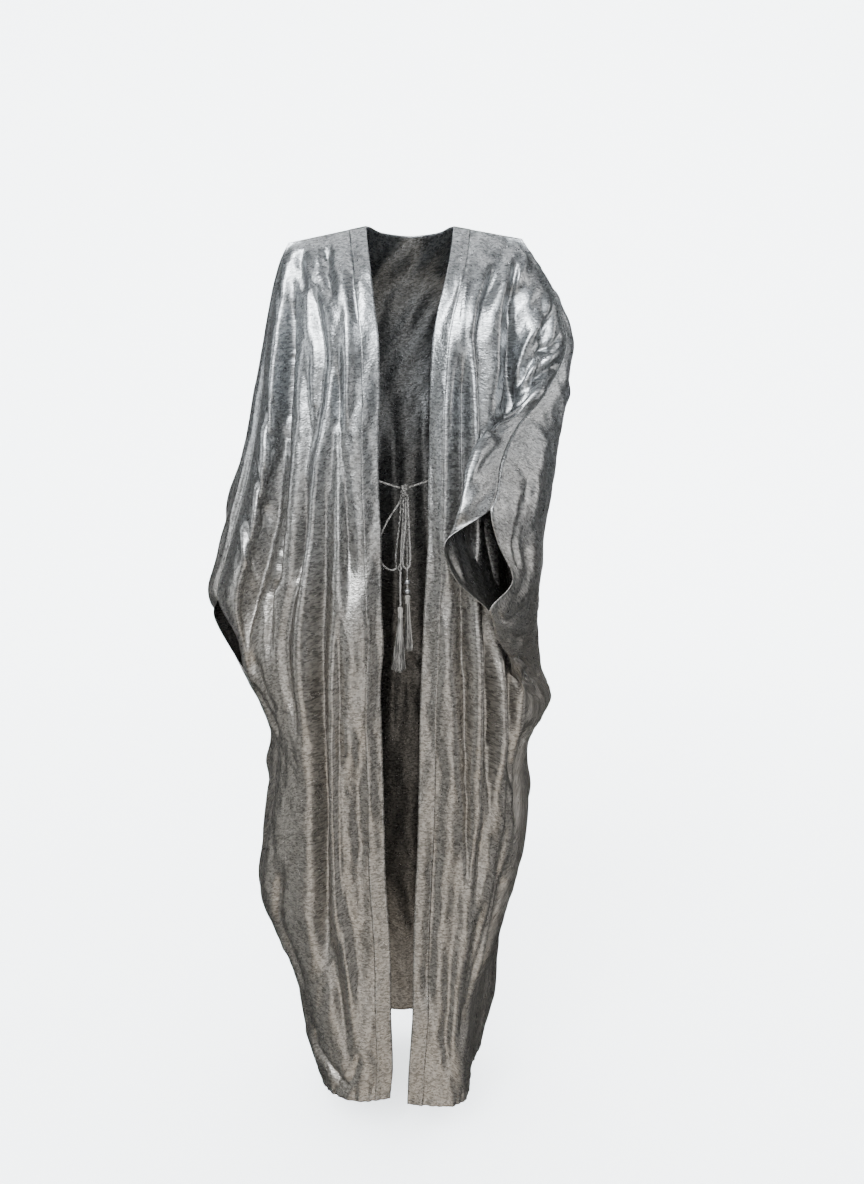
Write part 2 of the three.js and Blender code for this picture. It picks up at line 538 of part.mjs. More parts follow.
// The back as one surface: the wearer's right half, then the left half mirrored in share
function backSurface() {
  const rows = RIGHT.map((right, j) => {
    const a = BACK_RIGHT[j];
    const b = BACK_LEFT[j];
    const at = j === RIGHT.length - 1 ? HEM_BACK : right.at;
    const level = ([x, y, z], climb, seam) => [x, y, z ?? at + (seam[2] - at) * climb];
    const row = { at: right.at, seam: right.seam };
    row.seamR = a.cuffBack ?? right.seam;
    row.seamL = b.cuffBack ?? LEFT[j].seam;
    for (const name of ['crown', 'bulge', 'dip', 'blade', 'nape']) {
      row[`${name}R`] = level(a[name], CLIMB[name], right.seam);
      row[`${name}L`] = level(b[name], CLIMB[name], LEFT[j].seam);
    }
    row.mid = level(a.mid, 0, right.seam);
    return row;
  });
  const shares = {};
  const names = Object.keys(ACROSS_BACK).filter((name) => name !== 'mid');
  names.forEach((name) => { shares[`${name}R`] = ACROSS_BACK[name]; });
  shares.mid = ACROSS_BACK.mid;
  names.reverse().forEach((name) => { shares[`${name}L`] = 1 - ACROSS_BACK[name]; });
  return surface(rows, shares);
}

const downs = rowsDown(RIGHT);
const panels = {
  right: { outward: 1, rows: RIGHT, place: surface(RIGHT, ACROSS_RIGHT) },
  left: { outward: -1, rows: LEFT, place: surface(LEFT, ACROSS_LEFT) },
  back: { outward: 1, place: backSurface() },
};
// The two fronts have their own hem levels, so the last row of each is its own
for (const side of ['right', 'left']) {
  const panel = panels[side];
  const own = rowsDown(panel.rows);
  const counts = [BAND_FACES, FRONT_FACES - BAND_FACES];
  panel.grid = panelGrid(panel.place, FOLDS[side], own, panel.outward, [0, 1], counts, BAND_WIDTH);
  panel.normals = gridNormals(panel.grid, panel.outward);
}
const backStops = [0, ACROSS_BACK.blade, ACROSS_BACK.mid, 1 - ACROSS_BACK.blade, 1];
const backCounts = [BACK_SLEEVE_FACES, BACK_NECK_FACES, BACK_NECK_FACES, BACK_SLEEVE_FACES];
panels.back.grid = panelGrid(panels.back.place, FOLDS.back, downs, 1, backStops, backCounts, 0);
panels.back.normals = gridNormals(panels.back.grid, 1);

// Sewn rows: every row but those inside a cuff's opening
const sewn = ({ top, foot }) => downs.map((down) => down <= -RIGHT[top].at || down >= -RIGHT[foot].at);
const backLast = panels.back.grid[0].length - 1;
sewSides(panels.right, panels.back, FRONT_FACES, 0, sewn(CUFFS.right));
sewSides(panels.left, panels.back, FRONT_FACES, backLast, sewn(CUFFS.left));
const run = (from, to) => {
  const step = Math.sign(to - from);
  return Array.from({ length: Math.abs(to - from) + 1 }, (_, k) => from + k * step);
};
sewShoulder(panels.right, run(0, FRONT_FACES), -1, -1);
sewShoulder(panels.left, run(0, FRONT_FACES), 1, -1);
sewShoulder(panels.back, run(BACK_SLEEVE_FACES, 0), -1, 1);
sewShoulder(panels.back, run(backLast - BACK_SLEEVE_FACES, backLast), 1, 1);

const group = new THREE.Group();
function add(name, geometry, material) {
  const mesh = new THREE.Mesh(geometry, material);
  mesh.name = name;
  group.add(mesh);
  return mesh;
}

for (const [name, key] of [['front_right', 'right'], ['front_left', 'left'], ['back', 'back']]) {
  const { grid, normals } = panels[key];
  add(name, wall(grid, normals, -CLOTH / 2, CLOTH / 2), lame);
}

// Front bands lie on the outside of the fronts, made from the fronts' own points
for (const [name, key] of [['front_band_right', 'right'], ['front_band_left', 'left']]) {
  const strip = (rows) => rows.map((row) => row.slice(0, BAND_FACES + 1));
  const low = CLOTH / 2 + SEAM_GAP;
  const geometry = wall(strip(panels[key].grid), strip(panels[key].normals), low, low + BAND_CLOTH);
  add(name, geometry, band);
}

// Braided cords as plain tubes along their routes
function cordTube(route) {
  const curve = new THREE.CatmullRomCurve3(route.map((point) => new THREE.Vector3(...point)));
  const section = new THREE.Shape();
  for (let k = 0; k < CORD_SIDES; k += 1) {
    const angle = (k / CORD_SIDES) * 2 * Math.PI;
    const [x, y] = [Math.cos(angle) * CORD / 2, Math.sin(angle) * CORD / 2];
    if (k === 0) {
      section.moveTo(x, y);
    } else {
      section.lineTo(x, y);
    }
  }
  section.closePath();
  const steps = Math.round(curve.getLength() / (CORD_STEP * CORD));
  return new THREE.ExtrudeGeometry(section, { steps, extrudePath: curve, bevelEnabled: false });
}

// A profile of [radius, level] turned round an upright axis
function turned(profile, sides) {
  const geometry = new THREE.LatheGeometry(profile.map(([r, z]) => new THREE.Vector2(r, z)), sides);
  geometry.rotateX(Math.PI / 2);
  return geometry;
}

function beadRing() {
  const { radius, rim, hole, half, waist, sides } = BEAD;
  const lower = [[hole, -half], [rim, -half], [radius, -waist]];
  const upper = [[radius, waist], [rim, half], [hole, half]];
  return turned([...lower, ...upper, lower[0]], sides);
}

function toManifold(geometry) {
  const bare = geometry.clone();
  bare.deleteAttribute('normal');
  bare.deleteAttribute('uv');
  const merged = mergeVertices(bare, WELD);
  return new wasm.Manifold(new wasm.Mesh({
    numProp: 3,
    vertProperties: new Float32Array(merged.attributes.position.array),
    triVerts: new Uint32Array(merged.index.array),
  }));
}

function fromManifold(solid) {
  const mesh = solid.getMesh();
  const geometry = new THREE.BufferGeometry();
  geometry.setAttribute('position', new THREE.Float32BufferAttribute(mesh.vertProperties, 3));
  geometry.setIndex(new THREE.Uint32BufferAttribute(mesh.triVerts, 1));
  geometry.computeVertexNormals();
  return geometry;
}

// One strand: a thin rod through its stations, closed at both ends
function strand(stations) {
  const sides = STRAND_SIDES;
  const positions = [];
  const index = [];
  for (const { at, width } of stations) {
    for (let k = 0; k < sides; k += 1) {
      const angle = (k / sides) * 2 * Math.PI;
      positions.push(at[0] + Math.cos(angle) * width / 2, at[1] + Math.sin(angle) * width / 2, at[2]);
    }
  }
  for (let j = 0; j < stations.length - 1; j += 1) {
    for (let k = 0; k < sides; k += 1) {
      const a = j * sides + k;
      const b = j * sides + ((k + 1) % sides);
      index.push(a, a + sides, b, b, a + sides, b + sides);
    }
  }
  const end = (stations.length - 1) * sides;
  index.push(0, 1, 2, end, end + 2, end + 1);
  const geometry = new THREE.BufferGeometry();
  geometry.setAttribute('position', new THREE.Float32BufferAttribute(positions, 3));
  geometry.setIndex(signedVolume(positions, index) < 0 ? index.reverse() : index);
  return geometry;
}

function tassel({ top, head, length, lean, rings }) {
  const foot = head[head.length - 1][1];
  const profile = head.map(([radius, drop]) => [radius, -drop]).reverse();
  const geometry = turned(profile, TURN);
  geometry.translate(...top);
  let solid = toManifold(geometry);
  const rooted = foot - ROOTING;
  rings.forEach(({ count, root, tip }, ring) => {
    for (let k = 0; k < count; k += 1) {
      const angle = ((k + ring / 2) / count) * 2 * Math.PI;
      const stations = TASSEL_SPREAD.map(({ along, out, width }) => {
        const radius = root + (tip - root) * out;
        return {
          at: [
            top[0] + Math.cos(angle) * radius + lean[0] * along,
            top[1] + Math.sin(angle) * radius + lean[1] * along,
            top[2] - rooted - (length - rooted) * along,
          ],
          width: STRAND * width,
        };
      });
      solid = solid.add(toManifold(strand(stations)));
    }
  });
  return fromManifold(solid);
}

for (const [name, route] of Object.entries(ROUTES)) {
  add(name, cordTube(route), braid);
}
const knot = turned([...KNOT.profile].reverse(), TURN);
knot.translate(KNOT.centre[0], KNOT.centre[1], 0);
add('belt_knot', knot, braid);
for (const [name, centre] of Object.entries(BEADS)) {
  add(name, beadRing(), beadFinish).position.set(...centre);
}
for (const [name, sizes] of Object.entries(TASSELS)) {
  add(name, tassel(sizes), braid);
}

export default group;
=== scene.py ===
import math

import bpy
import mathutils
import numpy as np
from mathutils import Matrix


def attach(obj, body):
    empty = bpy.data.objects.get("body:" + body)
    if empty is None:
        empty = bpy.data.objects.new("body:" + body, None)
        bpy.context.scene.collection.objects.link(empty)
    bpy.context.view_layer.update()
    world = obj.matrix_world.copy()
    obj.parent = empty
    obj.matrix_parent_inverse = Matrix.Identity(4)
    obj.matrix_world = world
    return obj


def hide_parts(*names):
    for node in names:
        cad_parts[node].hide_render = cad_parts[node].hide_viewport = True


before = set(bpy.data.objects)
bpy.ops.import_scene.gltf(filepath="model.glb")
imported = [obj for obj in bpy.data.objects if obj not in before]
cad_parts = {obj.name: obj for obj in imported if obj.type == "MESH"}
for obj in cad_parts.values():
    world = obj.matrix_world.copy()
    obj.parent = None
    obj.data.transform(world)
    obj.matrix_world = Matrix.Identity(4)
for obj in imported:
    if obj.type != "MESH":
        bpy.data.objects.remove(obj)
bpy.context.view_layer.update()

MM = 0.001

# Camera at the photograph's angle, in metres and degrees
CAMERA_PLACE = (0.0, -1.74, -0.191)
CAMERA_DOWN = 12.23
CAMERA_TURN = 1.47
CAMERA_LENS = 32

# Cloth: lengths in millimetres
CLOTH = 1.0
BAND_WIDTH = 28
BAND_CLOTH = 0.7
BAND_LIFT = 0.7
HEM = 11
HEM_REACH = 26  # how far up its puckers go
HEM_STEP = 0.5
HEM_GROOVE = (0.45, 1.8)  # depth and half width, along its stitches
STITCH_EVERY = 4.2
SEAM_STITCH = 5  # from the seam
STITCH = (2.6, 0.32)  # length and half width
STITCH_RISE = 0.1
STITCH_AIM = 0.5  # either side of its middle, for its direction
SMALL_DOWN = 4
CREASE_SEARCH = 40  # how far off the cloth under a crease is looked for
SEAM_CALM = 20  # no creases at a seam, all of them this far off
SEW_REACH = 14  # how far the move onto a seam reaches into the panel
WAVES = ((0.9, 420, 46, 9), (0.3, 70, 24, 9))  # height, length down, width across, how many
HEM_WAVES = (0.8, 60, 15, 7)

# Cloth: counts, shares and factors
BAND_FACES = 10
BAND_STITCHES = {"outer": 1, "inner": 9}  # which of the lines between its faces are stitched
FRONT_FACES = (84, 430)  # across and down
BACK_FACES = (146, 318)
SMALL_ACROSS = 0.004
FOLD_RUN_IN = 0.22  # share of its length in which a fold rises to its height
CREASE_RUN_IN = 0.25
FOLD_FALL = 2  # how steeply its sides fall
CREASE_FALL = 2
CREASE_REACH = 3  # in half widths
DEPTH_WEIGHT = 0.2
WAVE_STRETCH = (0.7, 1.6)
WAVE_LEAN = 0.35

# Belt, in millimetres
CORD = 3.0
CORD_STEP = 2.0
WRAP_CORD = 3.3
CROSS_CORD = 2.8
WRAP_STEPS = 24
PLAIT_PITCH = 8.5
PLAIT_STEP = 0.55
PLAIT_SWING = 0.72
PLAIT_FLAT = 0.62  # swing in depth, as a share of the swing across
STRAND_SIDES = 6
ROUTE_CURVE = 24  # steps between two points of a route
ROUTE_STEPS = 8  # the fewest along a route
INWARD = (0.0, 1.0, 0.0)
SKEW = (0.31, 0.93, 0.2)  # a direction that no cord or strand follows

# Tassels, in millimetres
WINDING = {"from": 0.8, "to": 0.6, "pitch": 0.95, "radius": 0.42, "out": 0.12, "steps": 190}
WINDING_SIDES = 5
STRAND = {"root": 0.5, "thinner": 0.14, "crimp": 0.42, "above": 2, "steps": 15, "flare": 1.25}
THREAD_SIDES = 4
# Ranges that a strand's reach, length, crimps and swing are drawn from
SPREAD, LONG, CRIMPS, PHASE, SWING = (0.82, 1.06), (0.93, 1.0), (24, 34), (0, 6), 0.16
ROOTS = 0.8  # share of the head's foot that the strands start in
GOLDEN_TURN = 2.39996


def table(columns, rows):
    """Rows of a table as records under its column names."""
    return [dict(zip(columns.split(), row)) for row in rows]


# Sections of the cloth from the shoulder seam to the hem, as the solids have them. "at" is the
# level at the front edge; the other columns are places across: x, y and, where it climbs, z.
RIGHT = table("at edge breast fold valley sleeve seam", [
    [22, [-59, 14], [-90, 10.4], [-120, 6.9], [-145, 4.1], [-167, 1.6], [-181, 0, -5]],
    [-22, [-54, -38], [-98, -36], [-142, -27], [-168, -19], [-184, -12], [-193, -4, -30]],
    [-60, [-49, -78], [-99, -76], [-146, -54], [-173, -34], [-189, -28], [-200, -8, -62]],
    [-110, [-43, -106], [-98, -110], [-148, -78], [-174, -42], [-195, -42], [-211, -14, -112]],
    [-160, [-38, -122], [-98, -128], [-152, -90], [-177, -48], [-202, -54], [-219, -18, -160]],
    [-230, [-37, -128], [-100, -133], [-160, -98], [-181, -50], [-210, -64], [-227, -20, -230]],
    [-290, [-39, -130], [-104, -137], [-166, -103], [-185, -52], [-217, -74], [-237, -22, -290]],
    [-350, [-40, -132], [-107, -140], [-172, -107], [-190, -54], [-225, -82], [-249, -24, -350]],
    [-405, [-39, -134], [-110, -142], [-178, -108], [-198, -56], [-235, -87], [-263, -27, -405]],
    [-450, [-37, -136], [-112, -144], [-184, -107], [-206, -58], [-246, -90], [-277, -30, -450]],
    [-505, [-37, -139], [-115, -146], [-196, -104], [-222, -62], [-260, -92], [-294, -35, -505]],
    [-568, [-37, -142], [-118, -149], [-214, -100], [-240, -68], [-273, -90], [-309, -42, -568]],
    [-625, [-35, -144], [-121, -151], [-225, -98], [-249, -78], [-264, -86], [-275, -74, -625]],
    [-689, [-40, -146], [-122, -152], [-220, -104], [-246, -84], [-258, -76], [-266, -60, -689]],
    [-758, [-39, -148], [-122, -153], [-200, -112], [-225, -86], [-236, -66], [-239, -42, -758]],
    [-815, [-38, -149], [-120, -154], [-184, -120], [-206, -94], [-216, -68], [-217, -42, -815]],
    [-870, [-37, -150], [-119, -155], [-182, -122], [-207, -96], [-218, -70], [-219, -42, -870]],
    [-950, [-36, -151], [-120, -156], [-190, -120], [-219, -94], [-231, -68], [-231, -40, -950]],
    [-1020, [-35, -152], [-121, -157], [-198, -116], [-230, -90], [-245, -62], [-246, -34, -1020]],
    [-1090, [-31, -153], [-119, -158], [-200, -116], [-236, -88], [-253, -58], [-256, -30, -1090]],
    [-1160, [-28, -154], [-112, -159], [-182, -122], [-214, -94], [-230, -62], [-234, -32, -1160]],
    [-1270, [-28, -155], [-100, -161], [-152, -134], [-176, -106], [-190, -72], [-195, -36, -1270]],
    [-1360, [-26, -155], [-92, -162], [-142, -134], [-165, -106], [-178, -74], [-183, -40, -1360]],
    [-1425, [-31, -154], [-82, -161], [-120, -144], [-141, -118], [-152, -86], [-158, -52, -1446]],
])
LEFT = table("at edge breast fold valley inner under seam", [
    [22, [79, 14], [104, 10.7], [128, 7.6], [149, 4.9], [165, 2.9], [178, 1.2], [187, 0, 2]],
    [-22, [72, -38], [110, -36], [147, -28], [167, -21], [182, -15], [194, -9], [203, -4, -24]],
    [-60, [64, -78], [108, -76], [147, -56], [168, -40], [190, -33], [210, -19], [223, -4, -58]],
    [-110, [51, -106], [104, -112], [146, -82], [168, -52], [198, -48], [229, -28], [247, -7, -104]],
    [-160, [42, -122], [102, -130], [145, -94], [166, -60], [203, -64], [238, -42], [259, -15, -166]],
    [-230, [38, -128], [101, -134], [144, -100], [162, -66], [190, -92], [208, -88], [219, -60, -239]],
    [-290, [37, -131], [101, -138], [142, -102], [158, -62], [143, -102], [131, -146], [174, -110, -284]],
    [-350, [36, -133], [102, -140], [141, -102], [157, -58], [129, -118], [99, -196], [146, -160, -332]],
    [-405, [35, -135], [103, -142], [141, -102], [158, -54], [120, -126], [77, -228], [125, -215, -397]],
    [-450, [35, -137], [104, -143], [142, -102], [160, -54], [116, -130], [71, -206], [58, -240, -442]],
    [-505, [32, -140], [104, -145], [144, -104], [164, -58], [126, -136], [88, -206], [74, -235, -500]],
    [-568, [28, -142], [104, -147], [147, -108], [170, -74], [146, -138], [130, -188], [124, -216, -552]],
    [-625, [26, -144], [104, -149], [150, -114], [174, -92], [156, -130], [145, -154], [143, -172, -609]],
    [-689, [23, -146], [105, -151], [154, -120], [178, -108], [184, -112], [189, -95], [198, -76, -688]],
    [-758, [21, -148], [106, -152], [158, -124], [190, -102], [219, -68], [238, -32], [250, 0, -758]],
    [-815, [20, -149], [104, -154], [153, -128], [180, -106], [198, -82], [206, -56], [209, -30, -815]],
    [-870, [19, -150], [102, -155], [149, -130], [175, -108], [192, -84], [200, -58], [202, -32, -870]],
    [-950, [17, -152], [101, -156], [148, -130], [176, -108], [195, -84], [204, -60], [207, -36, -950]],
    [-1020, [14, -153], [97, -158], [141, -134], [168, -112], [187, -88], [197, -64], [201, -40, -1020]],
    [-1090, [11, -155], [90, -160], [130, -140], [153, -120], [170, -96], [180, -70], [184, -44, -1090]],
    [-1160, [9, -157], [81, -162], [115, -148], [134, -130], [148, -106], [156, -76], [160, -46, -1160]],
    [-1270, [7, -160], [70, -164], [96, -154], [107, -138], [116, -112], [122, -80], [126, -46, -1270]],
    [-1360, [1, -160], [66, -165], [91, -156], [102, -140], [109, -114], [114, -82], [117, -48, -1360]],
    [-1434, [-2, -158], [62, -166], [89, -157], [100, -142], [106, -116], [110, -84], [113, -54, -1446]],
])
BACK_RIGHT = table("crown bulge dip blade nape mid cuffBack", [
    [[-173, 0.9, -3.2], [-148, 3.8, 2.3], [-106, 8.6, 11.6], [-59, 14, 22], [-33, 48, 16], [10, 63, 13]],
    [[-193, 6], [-178, 22], [-130, 38], [-72, 50], [-34, 70], [10, 79]],
    [[-205, 7], [-192, 32], [-148, 60], [-92, 84], [-40, 94], [9, 96]],
    [[-217, 4], [-204, 40], [-158, 74], [-100, 106], [-45, 112], [8, 109]],
    [[-226, 4], [-213, 45], [-164, 78], [-104, 116], [-48, 121], [8, 116]],
    [[-243, 6], [-229, 50], [-172, 74], [-108, 120], [-50, 126], [7, 120]],
    [[-256, 8], [-243, 54], [-180, 72], [-110, 122], [-50, 128], [6, 121]],
    [[-272, 8], [-260, 56], [-190, 70], [-112, 123], [-51, 129], [5, 122]],
    [[-287, 8], [-274, 58], [-200, 70], [-113, 124], [-52, 131], [4, 123]],
    [[-300, 6], [-284, 58], [-210, 71], [-114, 124], [-53, 132], [4, 124]],
    [[-316, 2], [-298, 56], [-222, 72], [-116, 125], [-54, 133], [3, 125]],
    [[-331, -4], [-308, 52], [-236, 72], [-118, 125], [-55, 134], [2, 126]],
    [[-318, 44, -624], [-292, 58], [-236, 70], [-120, 126], [-56, 135], [1, 127], [-328, 30, -622]],
    [[-278, -24], [-264, 34], [-224, 68], [-122, 126], [-57, 136], [1, 128]],
    [[-249, -16], [-244, 24], [-210, 68], [-123, 126], [-58, 137], [0, 129]],
    [[-230, -18], [-230, 20], [-201, 68], [-123, 126], [-58, 137], [0, 130]],
    [[-234, -18], [-233, 22], [-202, 70], [-123, 126], [-58, 138], [-1, 131]],
    [[-246, -14], [-244, 26], [-208, 74], [-123, 126], [-58, 138], [-1, 132]],
    [[-256, -8], [-252, 30], [-213, 76], [-122, 127], [-58, 139], [-2, 133]],
    [[-264, -4], [-258, 34], [-216, 78], [-121, 128], [-58, 140], [-2, 134]],
    [[-243, -6], [-238, 34], [-202, 80], [-117, 129], [-57, 140], [-3, 134]],
    [[-203, -8], [-200, 34], [-172, 82], [-108, 127], [-55, 139], [-4, 134]],
    [[-189, -12], [-184, 32], [-158, 80], [-102, 124], [-54, 137], [-5, 133]],
    [[-163, -22], [-160, 26], [-140, 74], [-94, 118], [-52, 133], [-6, 131]],
])
BACK_LEFT = table("crown bulge dip blade nape cuffBack", [
    [[181, 0.8, 3.1], [164, 3, 6.3], [124, 8.2, 13.7], [79, 14, 22], [53, 48, 16]],
    [[205, 6, -23], [190, 22], [145, 38], [92, 50], [54, 70]],
    [[228, 8, -56], [212, 34], [164, 60], [108, 84], [58, 94]],
    [[255, 10, -100], [232, 44], [178, 74], [115, 106], [61, 112]],
    [[275, 12, -160], [252, 54], [188, 80], [119, 116], [63, 121]],
    [[252, -30, -236], [268, 14, -233], [204, 84], [121, 120], [64, 126]],
    [[216, -74, -283], [256, -6, -290], [212, 82], [122, 122], [64, 128]],
    [[198, -116, -338], [247, -22, -350], [214, 76], [122, 123], [64, 129]],
    [[184, -158, -396], [238, -32, -405], [212, 70], [122, 124], [63, 131]],
    [[176, -164, -448], [230, -36, -450], [210, 66], [121, 124], [62, 132], [136, -208, -448]],
    [[182, -162, -506], [227, -38, -506], [208, 64], [121, 125], [61, 133], [160, -200, -508]],
    [[164, -176, -566], [222, -42, -572], [206, 62], [121, 125], [61, 134]],
    [[182, -134, -618], [222, -34, -628], [207, 62], [121, 126], [60, 135]],
    [[217, -52, -690], [231, -4, -692], [210, 66], [121, 126], [60, 136]],
    [[253, 13, -758], [242, 34, -757], [206, 72], [121, 126], [60, 137]],
    [[215, -10], [212, 24], [190, 74], [120, 126], [59, 137]],
    [[208, -12], [206, 24], [186, 76], [119, 126], [59, 138]],
    [[213, -14], [210, 24], [188, 76], [119, 126], [58, 138]],
    [[208, -16], [206, 24], [184, 78], [118, 127], [57, 139]],
    [[192, -18], [193, 24], [176, 78], [116, 127], [56, 140]],
    [[171, -18], [178, 24], [172, 76], [113, 126], [54, 140]],
    [[141, -18], [161, 20], [166, 72], [110, 124], [50, 139]],
    [[131, -20], [154, 18], [162, 70], [108, 122], [47, 137]],
    [[121, -28], [134, 12], [136, 62], [97, 114], [42, 132]],
])
HEM_BACK = -1446
ACROSS_RIGHT = {"edge": 0, "breast": 0.26, "fold": 0.5, "valley": 0.66, "sleeve": 0.82, "seam": 1}
ACROSS_LEFT = {
    "edge": 0, "breast": 0.2, "fold": 0.36, "valley": 0.49, "inner": 0.66, "under": 0.84, "seam": 1,
}
ACROSS_BACK = [0, 0.07, 0.15, 0.27, 0.38, 0.46, 0.5, 0.54, 0.62, 0.73, 0.85, 0.93, 1]
NECK_POINTS = (4, 8)  # columns of the back where its shoulder seams end
CUFF_ROWS = {"right": (11, 13), "left": (8, 11)}
# How far a column without its own level has moved from the edge's level to the seam's
CLIMB = {
    "edge": 0, "breast": 0.04, "fold": 0.15, "valley": 0.35, "sleeve": 0.75, "inner": 0.6,
    "under": 0.9, "seam": 1, "crown": 1, "bulge": 0.8, "dip": 0.3, "blade": 0.05, "nape": 0,
}

# The largest folds, as in the solids: share across at top and foot, half width in that share
FOLDS_RIGHT = table("top foot from to spread height", [
    [-60, -700, 0.2, 0.22, 0.045, 7],
    [-150, -1000, 0.27, 0.31, 0.04, -8],
    [-210, -800, 0.35, 0.36, 0.04, 9],
    [-330, -820, 0.42, 0.42, 0.035, -10],
    [-300, -660, 0.72, 0.76, 0.05, -7],
    [-780, -1400, 0.34, 0.3, 0.075, -15],
    [-720, -1300, 0.25, 0.22, 0.035, 7],
])
FOLDS_LEFT = table("top foot from to spread height", [
    [-60, -900, 0.1, 0.08, 0.045, 6],
    [-120, -760, 0.17, 0.15, 0.04, -9],
    [-160, -900, 0.23, 0.21, 0.035, 8],
    [-300, -1150, 0.28, 0.27, 0.04, -13],
    [-360, -1000, 0.34, 0.34, 0.04, 7],
    [-560, -1300, 0.42, 0.42, 0.04, -8],
    [-90, -300, 0.8, 0.6, 0.06, -9],
    [-820, -1440, 0.14, 0.2, 0.05, -7],
])
FOLDS_BACK = table("top foot from to spread height", [
    [-70, -1300, 0.33, 0.32, 0.028, -12],
    [-110, -1440, 0.4, 0.41, 0.03, 9],
    [-160, -1440, 0.455, 0.46, 0.024, -11],
    [-240, -1380, 0.5, 0.505, 0.028, 9],
    [-150, -1440, 0.55, 0.545, 0.026, -12],
    [-120, -1400, 0.61, 0.6, 0.03, 9],
    [-80, -1250, 0.67, 0.68, 0.026, -12],
    [-200, -620, 0.2, 0.17, 0.03, -9],
    [-220, -700, 0.8, 0.83, 0.03, -9],
])

# Finer creases: path as (level, share across) places, half width and height in mm (minus: in),
# and how sharp its top is: 2 is rounded, 1 is a sharp line.
CREASES_RIGHT = table("path width height sharp", [
    [[(-60, 0.5), (-82, 0.47), (-155, 0.395), (-201, 0.375), (-274, 0.39), (-364, 0.41)], 18, -15, 2],
    [[(-120, 0.29), (-164, 0.28), (-259, 0.245), (-364, 0.205), (-485, 0.175), (-580, 0.17)], 16, -14, 2],
    [[(-140, 0.49), (-216, 0.475), (-306, 0.44), (-396, 0.44), (-491, 0.42), (-581, 0.37)], 15, -13, 2],
    [[(-250, 0.33), (-396, 0.32), (-616, 0.305), (-746, 0.313), (-883, 0.345), (-1028, 0.335),
      (-1170, 0.37), (-1310, 0.45)], 18, -19, 2],
    [[(-500, 0.215), (-607, 0.215), (-741, 0.21), (-874, 0.23), (-1048, 0.23), (-1170, 0.25)], 8, -10, 1.5],
    [[(-440, 0.365), (-613, 0.36), (-746, 0.385), (-886, 0.44)], 23, 9, 2],
    [[(-20, 0.68), (-65, 0.65), (-155, 0.64), (-216, 0.635), (-277, 0.625), (-343, 0.595),
      (-393, 0.58), (-439, 0.565), (-517, 0.525), (-567, 0.52), (-720, 0.52)], 10, -15, 2],
    [[(-225, 0.95), (-262, 0.86), (-300, 0.78), (-322, 0.72)], 13, -6, 2],
    [[(-325, 0.98), (-350, 0.93), (-385, 0.82), (-420, 0.74), (-450, 0.69)], 13, -7, 2],
    [[(-280, 0.92), (-315, 0.84), (-345, 0.77), (-370, 0.72)], 14, 3, 2],
    [[(-420, 0.95), (-445, 0.905), (-503, 0.775), (-541, 0.7), (-570, 0.66)], 9, 4, 1.8],
    [[(-405, 0.95), (-430, 0.89), (-480, 0.78), (-510, 0.73)], 9, -4, 2],
    [[(-545, 0.58), (-567, 0.58), (-601, 0.6), (-680, 0.78)], 11, 5, 2],
    [[(-480, 0.085), (-613, 0.09), (-744, 0.085), (-877, 0.08), (-981, 0.07)], 17, 9, 2],
    [[(-470, 0.145), (-610, 0.155), (-741, 0.155), (-860, 0.16)], 19, 8, 2],
    [[(-560, 0.245), (-709, 0.24), (-874, 0.26), (-1048, 0.255), (-1180, 0.28)], 16, 11, 2],
    [[(-700, 0.06), (-900, 0.12), (-1100, 0.13), (-1250, 0.11)], 18, -7, 2],
    [[(-900, 0.3), (-1050, 0.2), (-1200, 0.17), (-1300, 0.2)], 21, -8, 2],
    [[(-1000, 0.55), (-1120, 0.62), (-1250, 0.6)], 21, -11, 2],
    [[(-5, 0.66), (-40, 0.6), (-90, 0.54)], 14, -10, 2],
    [[(-5, 0.4), (-50, 0.36), (-97, 0.315)], 14, -10, 2],
    [[(-5, 0.16), (-60, 0.15), (-150, 0.12)], 10, -4, 2],
    [[(-1290, 0.6), (-1347, 0.62), (-1373, 0.5), (-1410, 0.33)], 13, -10, 1.5],
    [[(-1330, 0.2), (-1385, 0.3), (-1412, 0.5)], 10, -5, 1.5],
    [[(-1180, 0.78), (-1260, 0.8), (-1350, 0.74)], 15, -11, 2],
    [[(-640, 0.72), (-690, 0.6), (-760, 0.55)], 14, -6, 2],
    [[(-700, 0.9), (-735, 0.7), (-800, 0.6)], 15, -7, 2],
])
